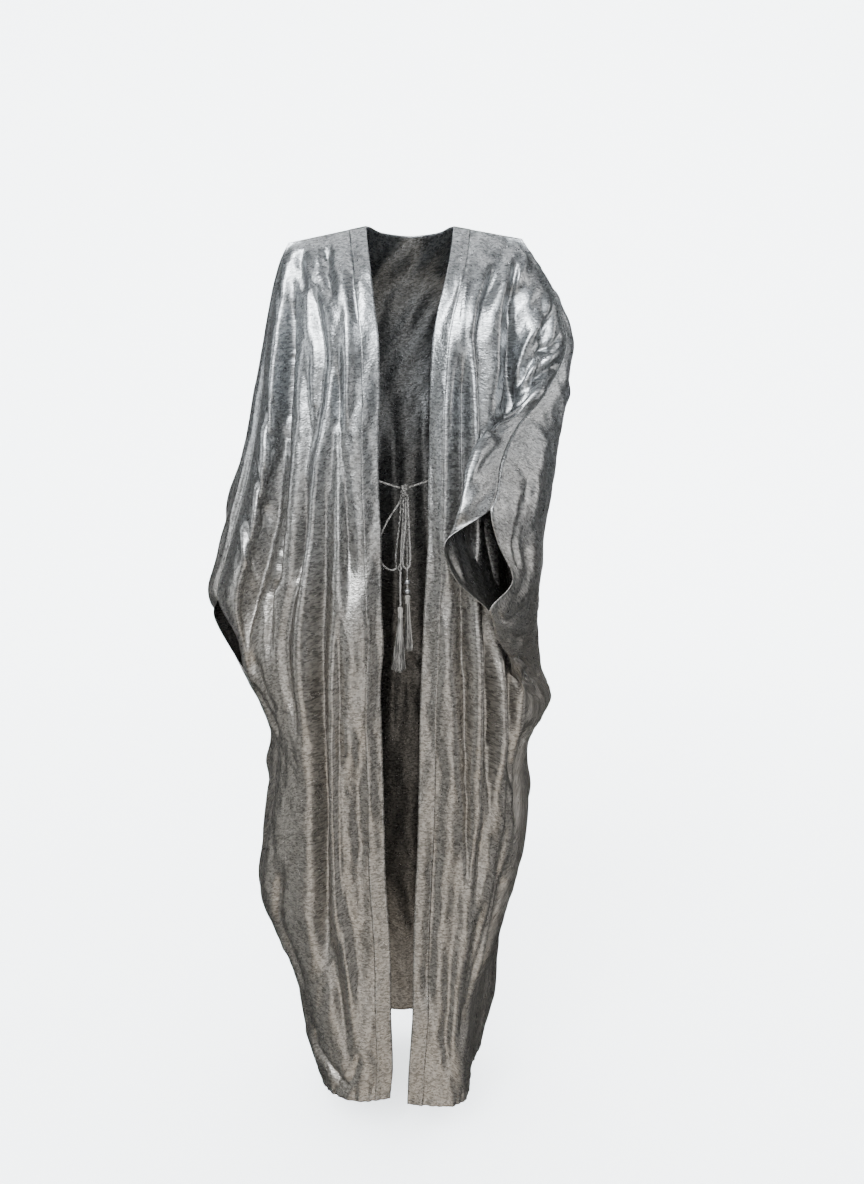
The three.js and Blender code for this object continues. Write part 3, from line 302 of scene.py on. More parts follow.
CREASES_LEFT = table("path width height sharp", [
    [[(-25, 0.29), (-45, 0.28), (-98, 0.23), (-156, 0.18)], 20, 8, 2],
    [[(-10, 0.37), (-70, 0.3), (-125, 0.255), (-244, 0.265), (-330, 0.265), (-480, 0.25)], 16, -17, 2],
    [[(-50, 0.145), (-77, 0.145), (-144, 0.14), (-170, 0.14)], 5, 3, 2],
    [[(-40, 0.11), (-77, 0.11), (-130, 0.105)], 5, 2, 2],
    [[(-10, 0.49), (-28, 0.445), (-74, 0.355), (-121, 0.3), (-170, 0.31)], 12, 8, 1.8],
    [[(-15, 0.54), (-31, 0.495), (-80, 0.375), (-141, 0.335), (-260, 0.34)], 12, 8, 1.8],
    [[(-3, 0.9), (-10, 0.86), (-45, 0.64), (-86, 0.485)], 12, 8, 1.6],
    [[(-40, 0.58), (-86, 0.5), (-153, 0.485), (-206, 0.49), (-258, 0.53), (-300, 0.52)], 9, -17, 1.5],
    [[(-30, 0.62), (-86, 0.515), (-120, 0.512), (-150, 0.512)], 6, 5, 1.6],
    [[(-80, 0.93), (-101, 0.845), (-127, 0.72), (-159, 0.605), (-194, 0.56), (-232, 0.54)], 12, 9, 1.6],
    [[(-95, 0.95), (-116, 0.86), (-142, 0.73), (-174, 0.62), (-209, 0.575), (-240, 0.545)], 8, -7, 1.8],
    [[(-140, 0.95), (-156, 0.825), (-168, 0.685), (-200, 0.605), (-232, 0.55)], 7, -10, 1.4],
    [[(-155, 0.96), (-170, 0.83), (-185, 0.7), (-212, 0.62), (-245, 0.565)], 13, 8, 2],
    [[(-175, 0.97), (-185, 0.94), (-197, 0.765), (-217, 0.635), (-246, 0.59)], 9, -9, 1.8],
    [[(-215, 0.93), (-225, 0.8), (-240, 0.69), (-262, 0.64)], 16, 7, 2],
    [[(-240, 0.95), (-262, 0.8), (-310, 0.75)], 14, -7, 2],
    [[(-300, 0.93), (-335, 0.85), (-380, 0.85)], 17, 7, 2],
    [[(-150, 0.13), (-165, 0.135), (-244, 0.14), (-319, 0.14), (-520, 0.14)], 17, -17, 2],
    [[(-420, 0.14), (-582, 0.15), (-710, 0.165), (-842, 0.18), (-950, 0.195), (-1090, 0.225)], 7, -16, 1.3],
    [[(-150, 0.2), (-273, 0.205), (-420, 0.2), (-582, 0.185)], 17, 9, 2],
    [[(-150, 0.05), (-273, 0.07), (-363, 0.075), (-560, 0.08)], 20, 8, 2],
    [[(-540, 0.215), (-710, 0.225), (-853, 0.25), (-1000, 0.27)], 17, 12, 2],
    [[(-600, 0.295), (-719, 0.29), (-853, 0.305), (-950, 0.33)], 10, -12, 1.6],
    [[(-620, 0.345), (-783, 0.34), (-891, 0.39), (-1000, 0.42)], 20, 11, 2],
    [[(-550, 0.1), (-710, 0.115), (-877, 0.13), (-1055, 0.15)], 19, 7, 2],
    [[(-640, 0.45), (-760, 0.44), (-900, 0.5)], 16, -14, 2],
    [[(-640, 0.62), (-700, 0.75), (-740, 0.82)], 10, -7, 1.6],
    [[(-640, 0.75), (-680, 0.85), (-715, 0.93)], 9, -6, 1.6],
    [[(-760, 0.58), (-850, 0.62), (-960, 0.58)], 16, -13, 2],
    [[(-980, 0.5), (-1130, 0.55), (-1300, 0.6)], 17, -14, 2],
    [[(-900, 0.06), (-1080, 0.07), (-1280, 0.06)], 16, -7, 2],
    [[(-1050, 0.33), (-1200, 0.36), (-1340, 0.34)], 17, -10, 2],
])
CREASES_BACK = table("path width height sharp", [
    [[(-120, 0.022), (-300, 0.024), (-450, 0.024), (-570, 0.022)], 6, 3, 2],
    [[(-180, 0.2), (-330, 0.14), (-470, 0.09)], 21, 12, 2],
    [[(-240, 0.24), (-420, 0.22), (-600, 0.19)], 18, -18, 2],
    [[(-60, 0.3), (-300, 0.29), (-700, 0.3)], 11, -9, 2],
    [[(-90, 0.36), (-260, 0.365), (-600, 0.35)], 15, 11, 1.6],
    [[(-130, 0.43), (-420, 0.44), (-900, 0.43), (-1250, 0.425)], 11, -12, 1.5],
    [[(-200, 0.48), (-500, 0.485), (-980, 0.48)], 12, 9, 1.8],
    [[(-110, 0.53), (-380, 0.52), (-760, 0.53), (-1300, 0.52)], 11, -12, 1.6],
    [[(-160, 0.58), (-500, 0.585), (-1000, 0.57)], 15, 11, 2],
    [[(-80, 0.64), (-350, 0.63), (-820, 0.645)], 11, -12, 1.5],
    [[(-100, 0.7), (-300, 0.71), (-640, 0.7)], 15, 11, 2],
    [[(-200, 0.77), (-340, 0.8), (-520, 0.84)], 18, -18, 2],
    [[(-640, 0.25), (-900, 0.24), (-1300, 0.26)], 12, -12, 2],
    [[(-620, 0.74), (-900, 0.75), (-1300, 0.73)], 12, -12, 2],
    [[(-700, 0.15), (-900, 0.16), (-1200, 0.17)], 16, 12, 2],
    [[(-720, 0.85), (-950, 0.84), (-1250, 0.83)], 16, 12, 2],
    [[(-280, 0.92), (-375, 0.915), (-470, 0.92)], 21, 9, 2],
    [[(-360, 0.93), (-401, 0.935), (-451, 0.95), (-500, 0.955)], 7, -6, 1.5],
    [[(-430, 0.9), (-470, 0.905), (-517, 0.915), (-560, 0.925)], 18, 11, 2],
    [[(-558, 0.985), (-581, 0.955), (-561, 0.905)], 5, -5, 1.3],
    [[(-600, 0.97), (-620, 0.93), (-610, 0.89)], 6, -4, 1.5],
])


def levelled(place, at, seam, climb):
    """A place of a section table as x, y, z: without a level of its own it climbs to the seam's."""
    z = place[2] if len(place) > 2 else at + (seam[2] - at) * climb
    return [place[0], place[1], z]


def front_columns(rows, shares):
    """Points of a front panel's named columns: [row, column, axis] in mm."""
    columns = []
    for row in rows:
        edge, seam = row["edge"], row["seam"]
        line = []
        for name in shares:
            straight = (row[name][0] - edge[0]) / (seam[0] - edge[0])
            climb = straight if row is rows[0] else CLIMB[name]
            line.append(levelled(row[name], row["at"], seam, climb))
        columns.append(line)
    return np.array(columns)


def back_columns():
    """Points of the back's named columns, the wearer's right half first."""
    columns = []
    for j, (right, left) in enumerate(zip(RIGHT, LEFT)):
        at = HEM_BACK if right is RIGHT[-1] else right["at"]
        halves = []
        for front, half in ((right, BACK_RIGHT[j]), (left, BACK_LEFT[j])):
            line = [half.get("cuffBack", front["seam"])]
            for name in ("crown", "bulge", "dip", "blade", "nape"):
                line.append(levelled(half[name], at, front["seam"], CLIMB[name]))
            halves.append(line)
        middle = levelled(BACK_RIGHT[j]["mid"], at, right["seam"], 0)
        columns.append(halves[0] + [middle] + halves[1][::-1])
    return np.array(columns)


def eased(share):
    """A share from 0 to 1 that starts and ends gently."""
    share = np.clip(share, 0, 1)
    return share * share * (3 - 2 * share)


def through(knots, values, where):
    """Cubic curves through uneven knots. values is [knot, line, axis], where is [place, line]."""
    knots = np.asarray(knots, float)
    last = len(knots) - 1
    before = np.maximum(np.arange(last + 1) - 1, 0)
    after = np.minimum(np.arange(last + 1) + 1, last)
    slopes = (values[after] - values[before]) / (knots[after] - knots[before])[:, None, None]
    k = np.clip(np.searchsorted(knots, where, side="left") - 1, 0, last - 1)
    line = np.broadcast_to(np.arange(values.shape[1]), k.shape)
    span = (knots[k + 1] - knots[k])[..., None]
    t = (where - knots[k])[..., None] / span
    ends = (2 * t**3 - 3 * t**2 + 1) * values[k, line] + (3 * t**2 - 2 * t**3) * values[k + 1, line]
    turns = (t**3 - 2 * t**2 + t) * slopes[k, line] + (t**3 - t**2) * slopes[k + 1, line]
    return ends + turns * span


class Panel:
    """One cloth panel's surface in mm: place(across, down) from its sections and shares."""

    def __init__(self, rows, columns, shares, outward, folds, faces, cuff=None):
        self.levels = [-row["at"] for row in rows]
        self.columns = columns
        self.shares = list(shares)
        self.outward = outward
        self.folds = folds
        self.faces = faces
        self.cuff = cuff

    def plain(self, across, down):
        """Points of the surface without folds; across is [row, column], down is [row]."""
        where = np.broadcast_to(down[:, None], (len(down), self.columns.shape[1]))
        lines = through(self.levels, self.columns, where)
        return through(self.shares, lines.transpose(1, 0, 2), across.T).transpose(1, 0, 2)

    def normals(self, across, down):
        """Unit normals of the plain surface, by small steps each way."""
        before = self.plain(np.maximum(across - SMALL_ACROSS, 0), down)
        along = self.plain(np.minimum(across + SMALL_ACROSS, 1), down) - before
        fall = self.plain(across, down + SMALL_DOWN) - self.plain(across, down - SMALL_DOWN)
        normal = np.cross(along, fall)
        return self.outward * normal / np.linalg.norm(normal, axis=-1, keepdims=True)

    def fold_height(self, across, down):
        """Height of all large folds at each place."""
        height = np.zeros_like(across)
        for fold in self.folds:
            along = (-down - fold["top"]) / (fold["foot"] - fold["top"])
            centre = fold["from"] + (fold["to"] - fold["from"]) * along
            fade = eased(np.minimum(along, 1 - along) / FOLD_RUN_IN)
            off = (across - centre[:, None]) / fold["spread"]
            height += fold["height"] * fade[:, None] * np.exp(-FOLD_FALL * off * off)
        return height

    def place(self, across, down):
        """Points of the folded surface."""
        height = self.fold_height(across, down)[..., None]
        return self.plain(across, down) + self.normals(across, down) * height


def lengths_along(points, axis):
    """Running length along a line, or along a grid's rows or columns, in mm."""
    steps = np.linalg.norm(np.diff(points, axis=axis), axis=-1)
    first = np.zeros_like(np.take(steps, [0], axis=axis))
    return np.concatenate([first, np.cumsum(steps, axis=axis)], axis=axis)


def points_at(wanted, run, points):
    """Points of a line at the wanted running lengths."""
    return np.stack([np.interp(wanted, run, points[:, axis]) for axis in range(3)], axis=-1)


def hand_curve(points, each=10):
    """A smooth line through given points, each stretch in even steps."""
    points = np.asarray(points, float)
    where = np.linspace(0, len(points) - 1, (len(points) - 1) * each + 1)
    return through(np.arange(len(points)), points[:, None, :], where[:, None])[:, 0]


def line_distance(points, line):
    """Distance of each point to a line of points, and the share of the line's length there."""
    best = np.full(len(points), np.inf)
    share = np.zeros(len(points))
    run = lengths_along(line, 0)
    for k in range(len(line) - 1):
        a, step = line[k], line[k + 1] - line[k]
        t = np.clip(((points - a) @ step) / max(step @ step, 1e-9), 0, 1)
        off = np.linalg.norm(points - a - t[:, None] * step, axis=1)
        nearer = off < best
        best[nearer] = off[nearer]
        share[nearer] = (run[k] + t * (run[k + 1] - run[k]))[nearer]
    return best, share / run[-1]


def box_round(points, line, reach):
    """Which points lie in the box round a line, with so much room on each side."""
    return np.all((points > line.min(0) - reach) & (points < line.max(0) + reach), axis=1)


def crease_line(panel, flat, path):
    """A crease's line in mm: smooth as seen from the front, and lying on the panel's surface."""
    path = np.array(path, float)
    line = hand_curve(panel.place(path[:, 1:], -path[:, 0])[:, 0])
    near = flat[box_round(flat, line, CREASE_SEARCH)]
    for point in line:
        off = (near[:, 0] - point[0]) ** 2 + (near[:, 2] - point[2]) ** 2
        off += (DEPTH_WEIGHT * (near[:, 1] - point[1])) ** 2
        point[1] = near[np.argmin(off), 1]
    return line


def crease_height(panel, points, creases):
    """Height of the listed creases at each point, each fading out at both ends."""
    flat = points.reshape(-1, 3)
    height = np.zeros(len(flat))
    for crease in creases:
        line = crease_line(panel, flat, crease["path"])
        near = box_round(flat, line, CREASE_REACH * crease["width"])
        off, share = line_distance(flat[near], line)
        fade = eased(np.minimum(share, 1 - share) / CREASE_RUN_IN)
        side = np.exp(-CREASE_FALL * (off / crease["width"]) ** crease["sharp"])
        height[near] += crease["height"] * fade * side
    return height.reshape(points.shape[:2])


def ripples(u, v, long, wide, count, seed):
    """Smooth irregular waves over the cloth, of unit height: long down it and wide across it."""
    random = np.random.default_rng(seed)
    total = np.zeros_like(u)
    for _ in range(count):
        stretch = random.uniform(*WAVE_STRETCH)
        lean = random.uniform(-WAVE_LEAN, WAVE_LEAN)
        phase = random.uniform(0, 2 * math.pi)
        total += np.sin(2 * math.pi * stretch * ((u + lean * v) / wide + v / long) + phase)
        total += np.sin(2 * math.pi * stretch * ((u - lean * v) / wide - v / long) + 2 * phase)
    return total / math.sqrt(2 * count)


def new_piece(name, vertices, faces, material, unit=MM):
    """A mesh object in the scene, its vertices in mm or the given unit."""
    mesh = bpy.data.meshes.new(name)
    mesh.from_pydata((np.asarray(vertices) * unit).tolist(), [], faces)
    mesh.materials.append(material)
    piece = bpy.data.objects.new(name, mesh)
    bpy.context.scene.collection.objects.link(piece)
    return piece


def grid_mesh(name, points, uv, material, outward):
    """A mesh object from a grid of points in mm, facing out, with a UV map in metres of cloth."""
    rows, columns = points.shape[:2]
    at = np.arange(rows * columns).reshape(rows, columns)
    quads = np.stack([at[:-1, :-1], at[1:, :-1], at[1:, 1:], at[:-1, 1:]], axis=-1).reshape(-1, 4)
    quads = quads[:, ::-outward]
    piece = new_piece(name, points.reshape(-1, 3), quads.tolist(), material)
    layer = piece.data.uv_layers.new(name="cloth")
    layer.data.foreach_set("uv", (uv.reshape(-1, 2)[quads.reshape(-1)] * MM).reshape(-1))
    piece.data.shade_smooth()
    return piece


def thicken(piece, thickness, reverse=None):
    """Gives a cloth surface its thickness, half to each side, with the reverse's own material."""
    if reverse:
        piece.data.materials.append(reverse)
    solid = piece.modifiers.new("thickness", "SOLIDIFY")
    solid.thickness = thickness * MM
    solid.offset = 0
    solid.use_even_offset = False
    solid.material_offset = 1 if reverse else 0
    depsgraph = bpy.context.evaluated_depsgraph_get()
    mesh = bpy.data.meshes.new_from_object(piece.evaluated_get(depsgraph))
    piece.modifiers.clear()
    piece.data = mesh


def grid_normals(points, outward):
    """Unit normals of a grid, by the difference of each point's neighbours."""
    normal = np.cross(np.gradient(points, axis=1), np.gradient(points, axis=0))
    return outward * normal / np.linalg.norm(normal, axis=-1, keepdims=True)


def cloth_points(panel, downs, creases, seed, sewn):
    """The finished surface of a panel: its folds, creases, soft ripples and crumpled hem.

    sewn is 1 where only its last column is sewn to another panel, and 2 where both sides are.
    """
    shares = np.linspace(0, 1, panel.faces[0] + 1)
    across = np.broadcast_to(shares, (len(downs), len(shares)))
    points = panel.place(across, downs)
    u, v = lengths_along(points, 1), lengths_along(points, 0)
    height = crease_height(panel, points, creases)
    for k, (high, *waves) in enumerate(WAVES):
        height += high * ripples(u, v, *waves, seed + k)
    to_hem = v[-1:] - v
    high, *waves = HEM_WAVES
    puckers = ripples(u, v, *waves, seed + len(WAVES))
    height += np.exp(-((to_hem / HEM_REACH) ** 2)) * high * puckers
    height += HEM_STEP * np.clip(1 - abs(to_hem - HEM / 2) / (HEM / 2), 0, 1)
    deep, wide = HEM_GROOVE
    height -= deep * np.exp(-(((to_hem - HEM) / wide) ** 2))
    to_seam = u[:, -1:] - u if sewn == 1 else np.minimum(u, u[:, -1:] - u)
    height *= np.clip(to_seam / SEAM_CALM, 0, 1) * np.clip(v / SEAM_CALM, 0, 1)
    points = points + panel.normals(across, downs) * height[..., None]
    return points, np.stack([u, v], axis=-1)


def sew_sides(back, points, downs, front, column):
    """Moves one side of the back onto the front's seam, but for the rows where the cuff is open."""
    own = np.interp(downs, back.levels, front.levels)
    seam = front.place(np.ones((len(own), 1)), own)[:, 0]
    top, foot = (front.levels[row] for row in front.cuff)
    sewn = (own <= top) | (own >= foot)
    move = np.where(sewn[:, None], seam - points[:, column], 0)
    off = lengths_along(points, 1)
    off = abs(off - off[:, column][:, None])
    return points + np.exp(-((off / SEW_REACH) ** 2))[..., None] * move[:, None, :]


def straighten_shoulder(points, columns):
    """Puts the top row of these columns on the straight shoulder seam, the neck point first."""
    neck, tip = points[0, columns[0]], points[0, columns[-1]]
    share = np.linalg.norm(points[0, columns] - neck, axis=-1) / np.linalg.norm(tip - neck)
    move = neck + share[:, None] * (tip - neck) - points[0, columns]
    drop = lengths_along(points, 0)[:, columns]
    points[:, columns] += np.exp(-((drop / SEW_REACH) ** 2))[..., None] * move[None]


def strip_along_edge(points, width, faces):
    """Grid of the first mm of every row of a panel: a strip along its front edge."""
    run = lengths_along(points, 1)
    wanted = np.linspace(0, width, faces + 1)
    return np.array([points_at(wanted, along, row) for along, row in zip(run, points)])


def row_at(values, distance, wanted):
    """One line of a grid's values: at each column, where the distance falls to the wanted one."""
    order = np.argsort(distance, axis=0)
    line = []
    for column in range(values.shape[1]):
        rising = order[:, column]
        line.append(points_at(wanted, distance[rising, column], values[rising, column]))
    return np.array(line)


def stitch_line(name, line, normals, material):
    """A row of small raised stitches along a line of points in mm."""
    run = lengths_along(line, 0)
    middles = np.arange(STITCH_EVERY / 2, run[-1], STITCH_EVERY)
    centre = points_at(middles, run, line)
    ahead = points_at(middles + STITCH_AIM, run, line) - points_at(middles - STITCH_AIM, run, line)
    ahead /= np.linalg.norm(ahead, axis=1, keepdims=True)
    up = points_at(middles, run, normals)
    side = np.cross(ahead, up)
    length, half = STITCH
    corners = [
        centre - ahead * length / 2,
        centre + side * half,
        centre + up * (STITCH_RISE + half),
        centre - side * half,
        centre + ahead * length / 2,
    ]
    faces = []
    for k in range(len(middles)):
        a, b, c, d, e = range(5 * k, 5 * k + 5)
        faces += [(a, b, c), (a, c, d), (e, c, b), (e, d, c), (a, d, b), (e, b, d)]
    return new_piece(name, np.stack(corners, axis=1).reshape(-1, 3), faces, material)


def frames(line, first):
    """Two unit directions square to a line at each of its points, without twist."""
    ahead = np.gradient(line, axis=0)
    ahead /= np.linalg.norm(ahead, axis=1, keepdims=True)
    side = np.cross(ahead[0], first)
    sides = []
    for direction in ahead:
        side = side - direction * (side @ direction)
        side /= np.linalg.norm(side)
        sides.append(side)
    sides = np.array(sides)
    return sides, np.cross(ahead, sides)


def even_route(points, step):
    """Even points along a smooth route in mm, and the running length at each."""
    line = hand_curve(points, ROUTE_CURVE)
    run = lengths_along(line, 0)
    where = np.linspace(0, run[-1], max(int(run[-1] / step), ROUTE_STEPS) + 1)
    return points_at(where, run, line), where


def tube(line, radius, sides_count):
    """Vertices and faces of a tube round a line; radius may change along it."""
    side, other = frames(line, SKEW)
    turn = np.arange(sides_count) / sides_count * 2 * math.pi
    radius = np.broadcast_to(radius, len(line))[:, None, None]
    ring = np.cos(turn)[None, :, None] * side[:, None] + np.sin(turn)[None, :, None] * other[:, None]
    vertices = (line[:, None] + radius * ring).reshape(-1, 3)
    faces = []
    for j in range(len(line) - 1):
        for k in range(sides_count):
            a, b = j * sides_count + k, j * sides_count + (k + 1) % sides_count
            faces.append((a, b, b + sides_count, a + sides_count))
    last = (len(line) - 1) * sides_count
    faces.append(tuple(range(sides_count))[::-1])
    faces.append(tuple(range(last, last + sides_count)))
    return vertices, faces


def joined(name, parts, material):
    """One smooth object from several (vertices in mm, faces) parts."""
    vertices, faces, start = [], [], 0
    for part_vertices, part_faces in parts:
        vertices.append(part_vertices)
        faces += [tuple(start + v for v in face) for face in part_faces]
        start += len(part_vertices)
    piece = new_piece(name, np.concatenate(vertices), faces, material)
    piece.data.shade_smooth()
    return piece


def plait(points, diameter=CORD):
    """The three strands of a flat-round plait along a route in mm."""
    line, where = even_route(points, PLAIT_STEP)
    side, other = frames(line, INWARD)
    swing = PLAIT_SWING * diameter / CORD
    parts = []
    for k in range(3):
        turn = where / PLAIT_PITCH * 2 * math.pi + k * 2 * math.pi / 3
        path = line + swing * np.sin(turn)[:, None] * side
        path = path + PLAIT_FLAT * swing * np.sin(2 * turn)[:, None] * other
        parts.append(tube(path, diameter / 2 - swing, STRAND_SIDES))
    return parts


# Belt routes, repeated from the solids
KNOT_CENTRE = (-1, -130)
ROUTES = {
    "belt_cord_right": [
        [-62, -134, -364], [-51, -131.8, -365], [-40, -129.7, -366.5], [-24, -129.6, -371.5],
        [-7.8, -130, -376.5],
    ],
    "belt_cord_left": [
        [57, -134.8, -363.5], [46, -132.5, -364.5], [35.5, -130.6, -366], [20, -130.2, -371],
        [5.8, -130, -376],
    ],
    "belt_loop_right": [
        [-6.2, -133.4, -390.4], [-6.4, -133.5, -400], [-7.4, -133.7, -416], [-9.6, -133.9, -438],
        [-12.5, -134, -462], [-14.6, -134, -480], [-15, -134, -490], [-13.3, -134, -499.5],
        [-9, -134, -504.2], [-4.7, -134, -499.5], [-3, -134, -490], [-2.7, -134, -480],
        [-2.7, -133.9, -462], [-2.7, -133.8, -438], [-2.7, -133.6, -416], [-2.7, -133.5, -400],
        [-2.7, -133.4, -390.4],
    ],
    "belt_loop_left": [
        [0.8, -133.4, -390.4], [0.9, -133.8, -400], [0.8, -135.2, -416], [0, -136.6, -438],
        [-2, -137.2, -462], [-4, -137.3, -480], [-4.4, -137.3, -488], [-2.8, -137.3, -497],
        [1.6, -137.3, -501.6], [6, -137.3, -497], [7.7, -137.3, -488], [7.6, -137.3, -480],
        [7, -137.2, -462], [6, -136.6, -438], [5, -135.2, -416], [4.4, -133.8, -400],
        [4.3, -133.4, -390.4],
    ],
    "belt_loop_side": [
        [-6.2, -129.8, -390.4], [-6.9, -129.7, -395], [-10.5, -129.4, -402], [-17, -129, -412],
        [-25, -128.8, -424], [-32, -128.6, -437], [-37.5, -128.6, -450], [-41, -128.5, -464],
        [-41.5, -128.4, -479], [-38, -128.2, -492], [-31, -128, -501], [-22, -127.8, -505],
        [-13.5, -127, -502.5], [-8, -126, -496], [-5.3, -125.4, -486], [-4.5, -125.3, -470],
        [-4.2, -125.3, -450], [-3.5, -125.5, -430], [-2.5, -125.8, -410], [-1.6, -126.2, -390.4],
    ],
    "belt_tail_long": [
        [-2.4, -129.8, -390.4], [-2.6, -129.8, -400], [-3.4, -129.8, -420], [-4.6, -129.8, -440],
        [-5.8, -129.8, -460], [-6.8, -129.9, -480], [-7.5, -130.3, -500], [-7.9, -131.6, -515],
        [-8.1, -132.8, -530], [-8.1, -133.6, -545], [-8.1, -134, -562],
    ],
    "belt_tail_short": [
        [1.4, -129.8, -390.4], [1.6, -129.5, -400], [2, -128.6, -420], [2.4, -127, -440],
        [2.7, -125.2, -460], [2.9, -123.6, -480], [2.9, -122.5, -500], [2.8, -122.1, -512],
        [2.8, -122, -525], [3, -122, -538], [3.1, -122, -545.7],
    ],
}
BEAD_PLACES = {"bead_upper": (2.8, -122, -525.5), "bead_lower": (3, -122, -540.6)}
BEAD_OUTLINE = [
    (1.9, -3.2), (3.2, -3.3), (3.9, -2.5), (4.15, -1.2), (4.2, 0),
    (4.15, 1.2), (3.9, 2.5), (3.2, 3.3), (1.9, 3.2),
]
# Tassels: the head's outline as (radius, drop) below the top, then its strands
TASSELS = {
    "tassel_long": {
        "top": (-8.1, -134, -562.3),
        "head": [(0.4, 0.2), (2.8, 0.6), (4.3, 3.4), (4.3, 7.4), (3.2, 10.6), (3.4, 12), (4.2, 17)],
        "strands": 118, "length": 105, "lean": (-3.5, 0), "spread": 12.4,
    },
    "tassel_short": {
        "top": (3.1, -122, -546),
        "head": [(0.4, 0.2), (2.8, 0.6), (4, 2.6), (3.8, 6.2), (2.9, 8.6), (3.1, 10), (3.7, 14)],
        "strands": 96, "length": 93, "lean": (1.2, 1), "spread": 7.4,
    },
}
# Wraps of the knot: height, radius of the wrap's middle, and how far it tips to the front
WRAPS = [
    (-373.6, 3.6, 1.2), (-377.0, 4.3, -1.0), (-380.6, 5.0, 1.3), (-384.4, 5.6, -0.8),
    (-387.6, 6.1, 0.6),
]
# The stretch of cord over the wraps, from the knot's centre, with its level
CROSSING = [
    (-3.4, -2.6, -372.5), (-3.0, -5.2, -376), (-1.0, -6.6, -380), (1.8, -7.0, -384),
    (4.2, -6.2, -388),
]


def knot_parts():
    """Wound turns of plait with one stretch of cord crossing over them at the front."""
    parts = []
    turn = np.linspace(0, 2 * math.pi, WRAP_STEPS + 1)
    x, y = KNOT_CENTRE
    for level, radius, tip in WRAPS:
        ring = [x + radius * np.sin(turn), y - radius * np.cos(turn), level + tip * np.sin(turn)]
        parts += plait(np.stack(ring, axis=1), WRAP_CORD)
    return parts + plait([(x + a, y + b, level) for a, b, level in CROSSING], CROSS_CORD)


def turned(outline, centre, sides=20):
    """A profile of (radius, level) in mm turned round an upright axis, its ends joined."""
    turn = np.arange(sides) / sides * 2 * math.pi
    ring = np.stack([np.cos(turn), np.sin(turn)], axis=1)
    vertices = [
        np.concatenate([ring * radius, np.full((sides, 1), level)], axis=1) for radius, level in outline
    ]
    vertices = np.concatenate(vertices) + np.array(centre)
    faces = []
    for j in range(len(outline)):
        below = (j + 1) % len(outline)
        for k in range(sides):
            after = (k + 1) % sides
            faces.append((j * sides + k, j * sides + after, below * sides + after, below * sides + k))
    return vertices, faces


def tassel_parts(top, head, strands, length, lean, spread, seed):
    """A bound head, wound with thread, and a skirt of crimped strands."""
    random = np.random.default_rng(seed)
    top = np.array(top, float)
    radii, drops = np.array(head).T
    foot, root = drops[-1], radii[-1] * ROOTS
    outline = [(radius, -drop) for radius, drop in head] + [(head[0][0], -foot)]
    parts = [turned(outline, top)]
    wound = np.linspace(WINDING["from"], foot - WINDING["to"], WINDING["steps"])
    turn = wound / WINDING["pitch"] * 2 * math.pi
    radius = np.interp(wound, drops, radii) + WINDING["out"]
    winding = np.stack([radius * np.cos(turn), radius * np.sin(turn), -wound], axis=1)
    parts.append(tube(winding + top, WINDING["radius"], WINDING_SIDES))
    along = np.linspace(0, 1, STRAND["steps"])
    for k in range(strands):
        ring = math.sqrt((k + 0.5) / strands)
        angle = k * GOLDEN_TURN
        reach = ring * spread * random.uniform(*SPREAD)
        long = (length - foot) * random.uniform(*LONG)
        out = ring * root + (reach - ring * root) * along ** STRAND["flare"]
        waves = along * random.uniform(*CRIMPS) + random.uniform(*PHASE)
        crimp = STRAND["crimp"] * np.sin(waves)
        swing = random.uniform(-SWING, SWING) * along
        strand = np.stack([
            out * np.cos(angle + swing) + lean[0] * along + crimp * math.sin(angle),
            out * np.sin(angle + swing) + lean[1] * along - crimp * math.cos(angle),
            STRAND["above"] - foot - (long + STRAND["above"]) * along,
        ], axis=1)
        parts.append(tube(strand + top, STRAND["root"] - STRAND["thinner"] * along, THREAD_SIDES))
    return parts


def put(made, inputs):
    """Sets a shader node's inputs by name or number; an output of another node is linked."""
    for key, value in inputs.items():
        if isinstance(value, bpy.types.NodeSocket):
            made.id_data.links.new(value, made.inputs[key])
        else:
            made.inputs[key].default_value = value


def node(nodes, kind, gives, inputs, **options):
    """A shader node with its options and inputs set. It gives one of its outputs."""
    made = nodes.new("ShaderNode" + kind)
    for key, value in options.items():
        setattr(made, key, value)
    put(made, inputs)
    return made.outputs[gives]


def noise(nodes, place, scale, detail, roughness=0.5, gives="Fac"):
    """Noise over a place."""
    inputs = {"Vector": place, "Scale": scale, "Detail": detail, "Roughness": roughness}
    return node(nodes, "TexNoise", gives, inputs)


def relief(nodes, height, distance, strength=1.0, under=None):
    """Relief as deep as a value times a distance in metres, over the relief under it."""
    inputs = {"Height": height, "Distance": distance, "Strength": strength}
    if under is not None:
        inputs["Normal"] = under
    return node(nodes, "Bump", "Normal", inputs)


def ranged(nodes, value, begin, end, low, high, **options):
    """A value as it goes from low to high between begin and end."""
    inputs = {"Value": value, "From Min": begin, "From Max": end, "To Min": low, "To Max": high}
    return node(nodes, "MapRange", "Result", inputs, **options)


def ramp(nodes, value, *stops):
    """A colour from two stops of position and colour."""
    made = nodes.new("ShaderNodeValToRGB")
    for element, (position, color) in zip(made.color_ramp.elements, stops):
        element.position = position
        element.color = (*color, 1)
    put(made, {"Fac": value})
    return made.outputs["Color"]


def times(color, factor):
    """A colour made lighter or darker."""
    return [channel * factor for channel in color]


def shader(name, color, metallic, roughness):
    """A new material with its main shader, colours and gloss set on the shader's own sockets."""
    material = bpy.data.materials.new(name)
    material.use_nodes = True
    nodes = material.node_tree.nodes
    main = nodes["Principled BSDF"]
    put(main, {"Base Color": (*color, 1), "Metallic": metallic, "Roughness": roughness})
    return material, nodes, main
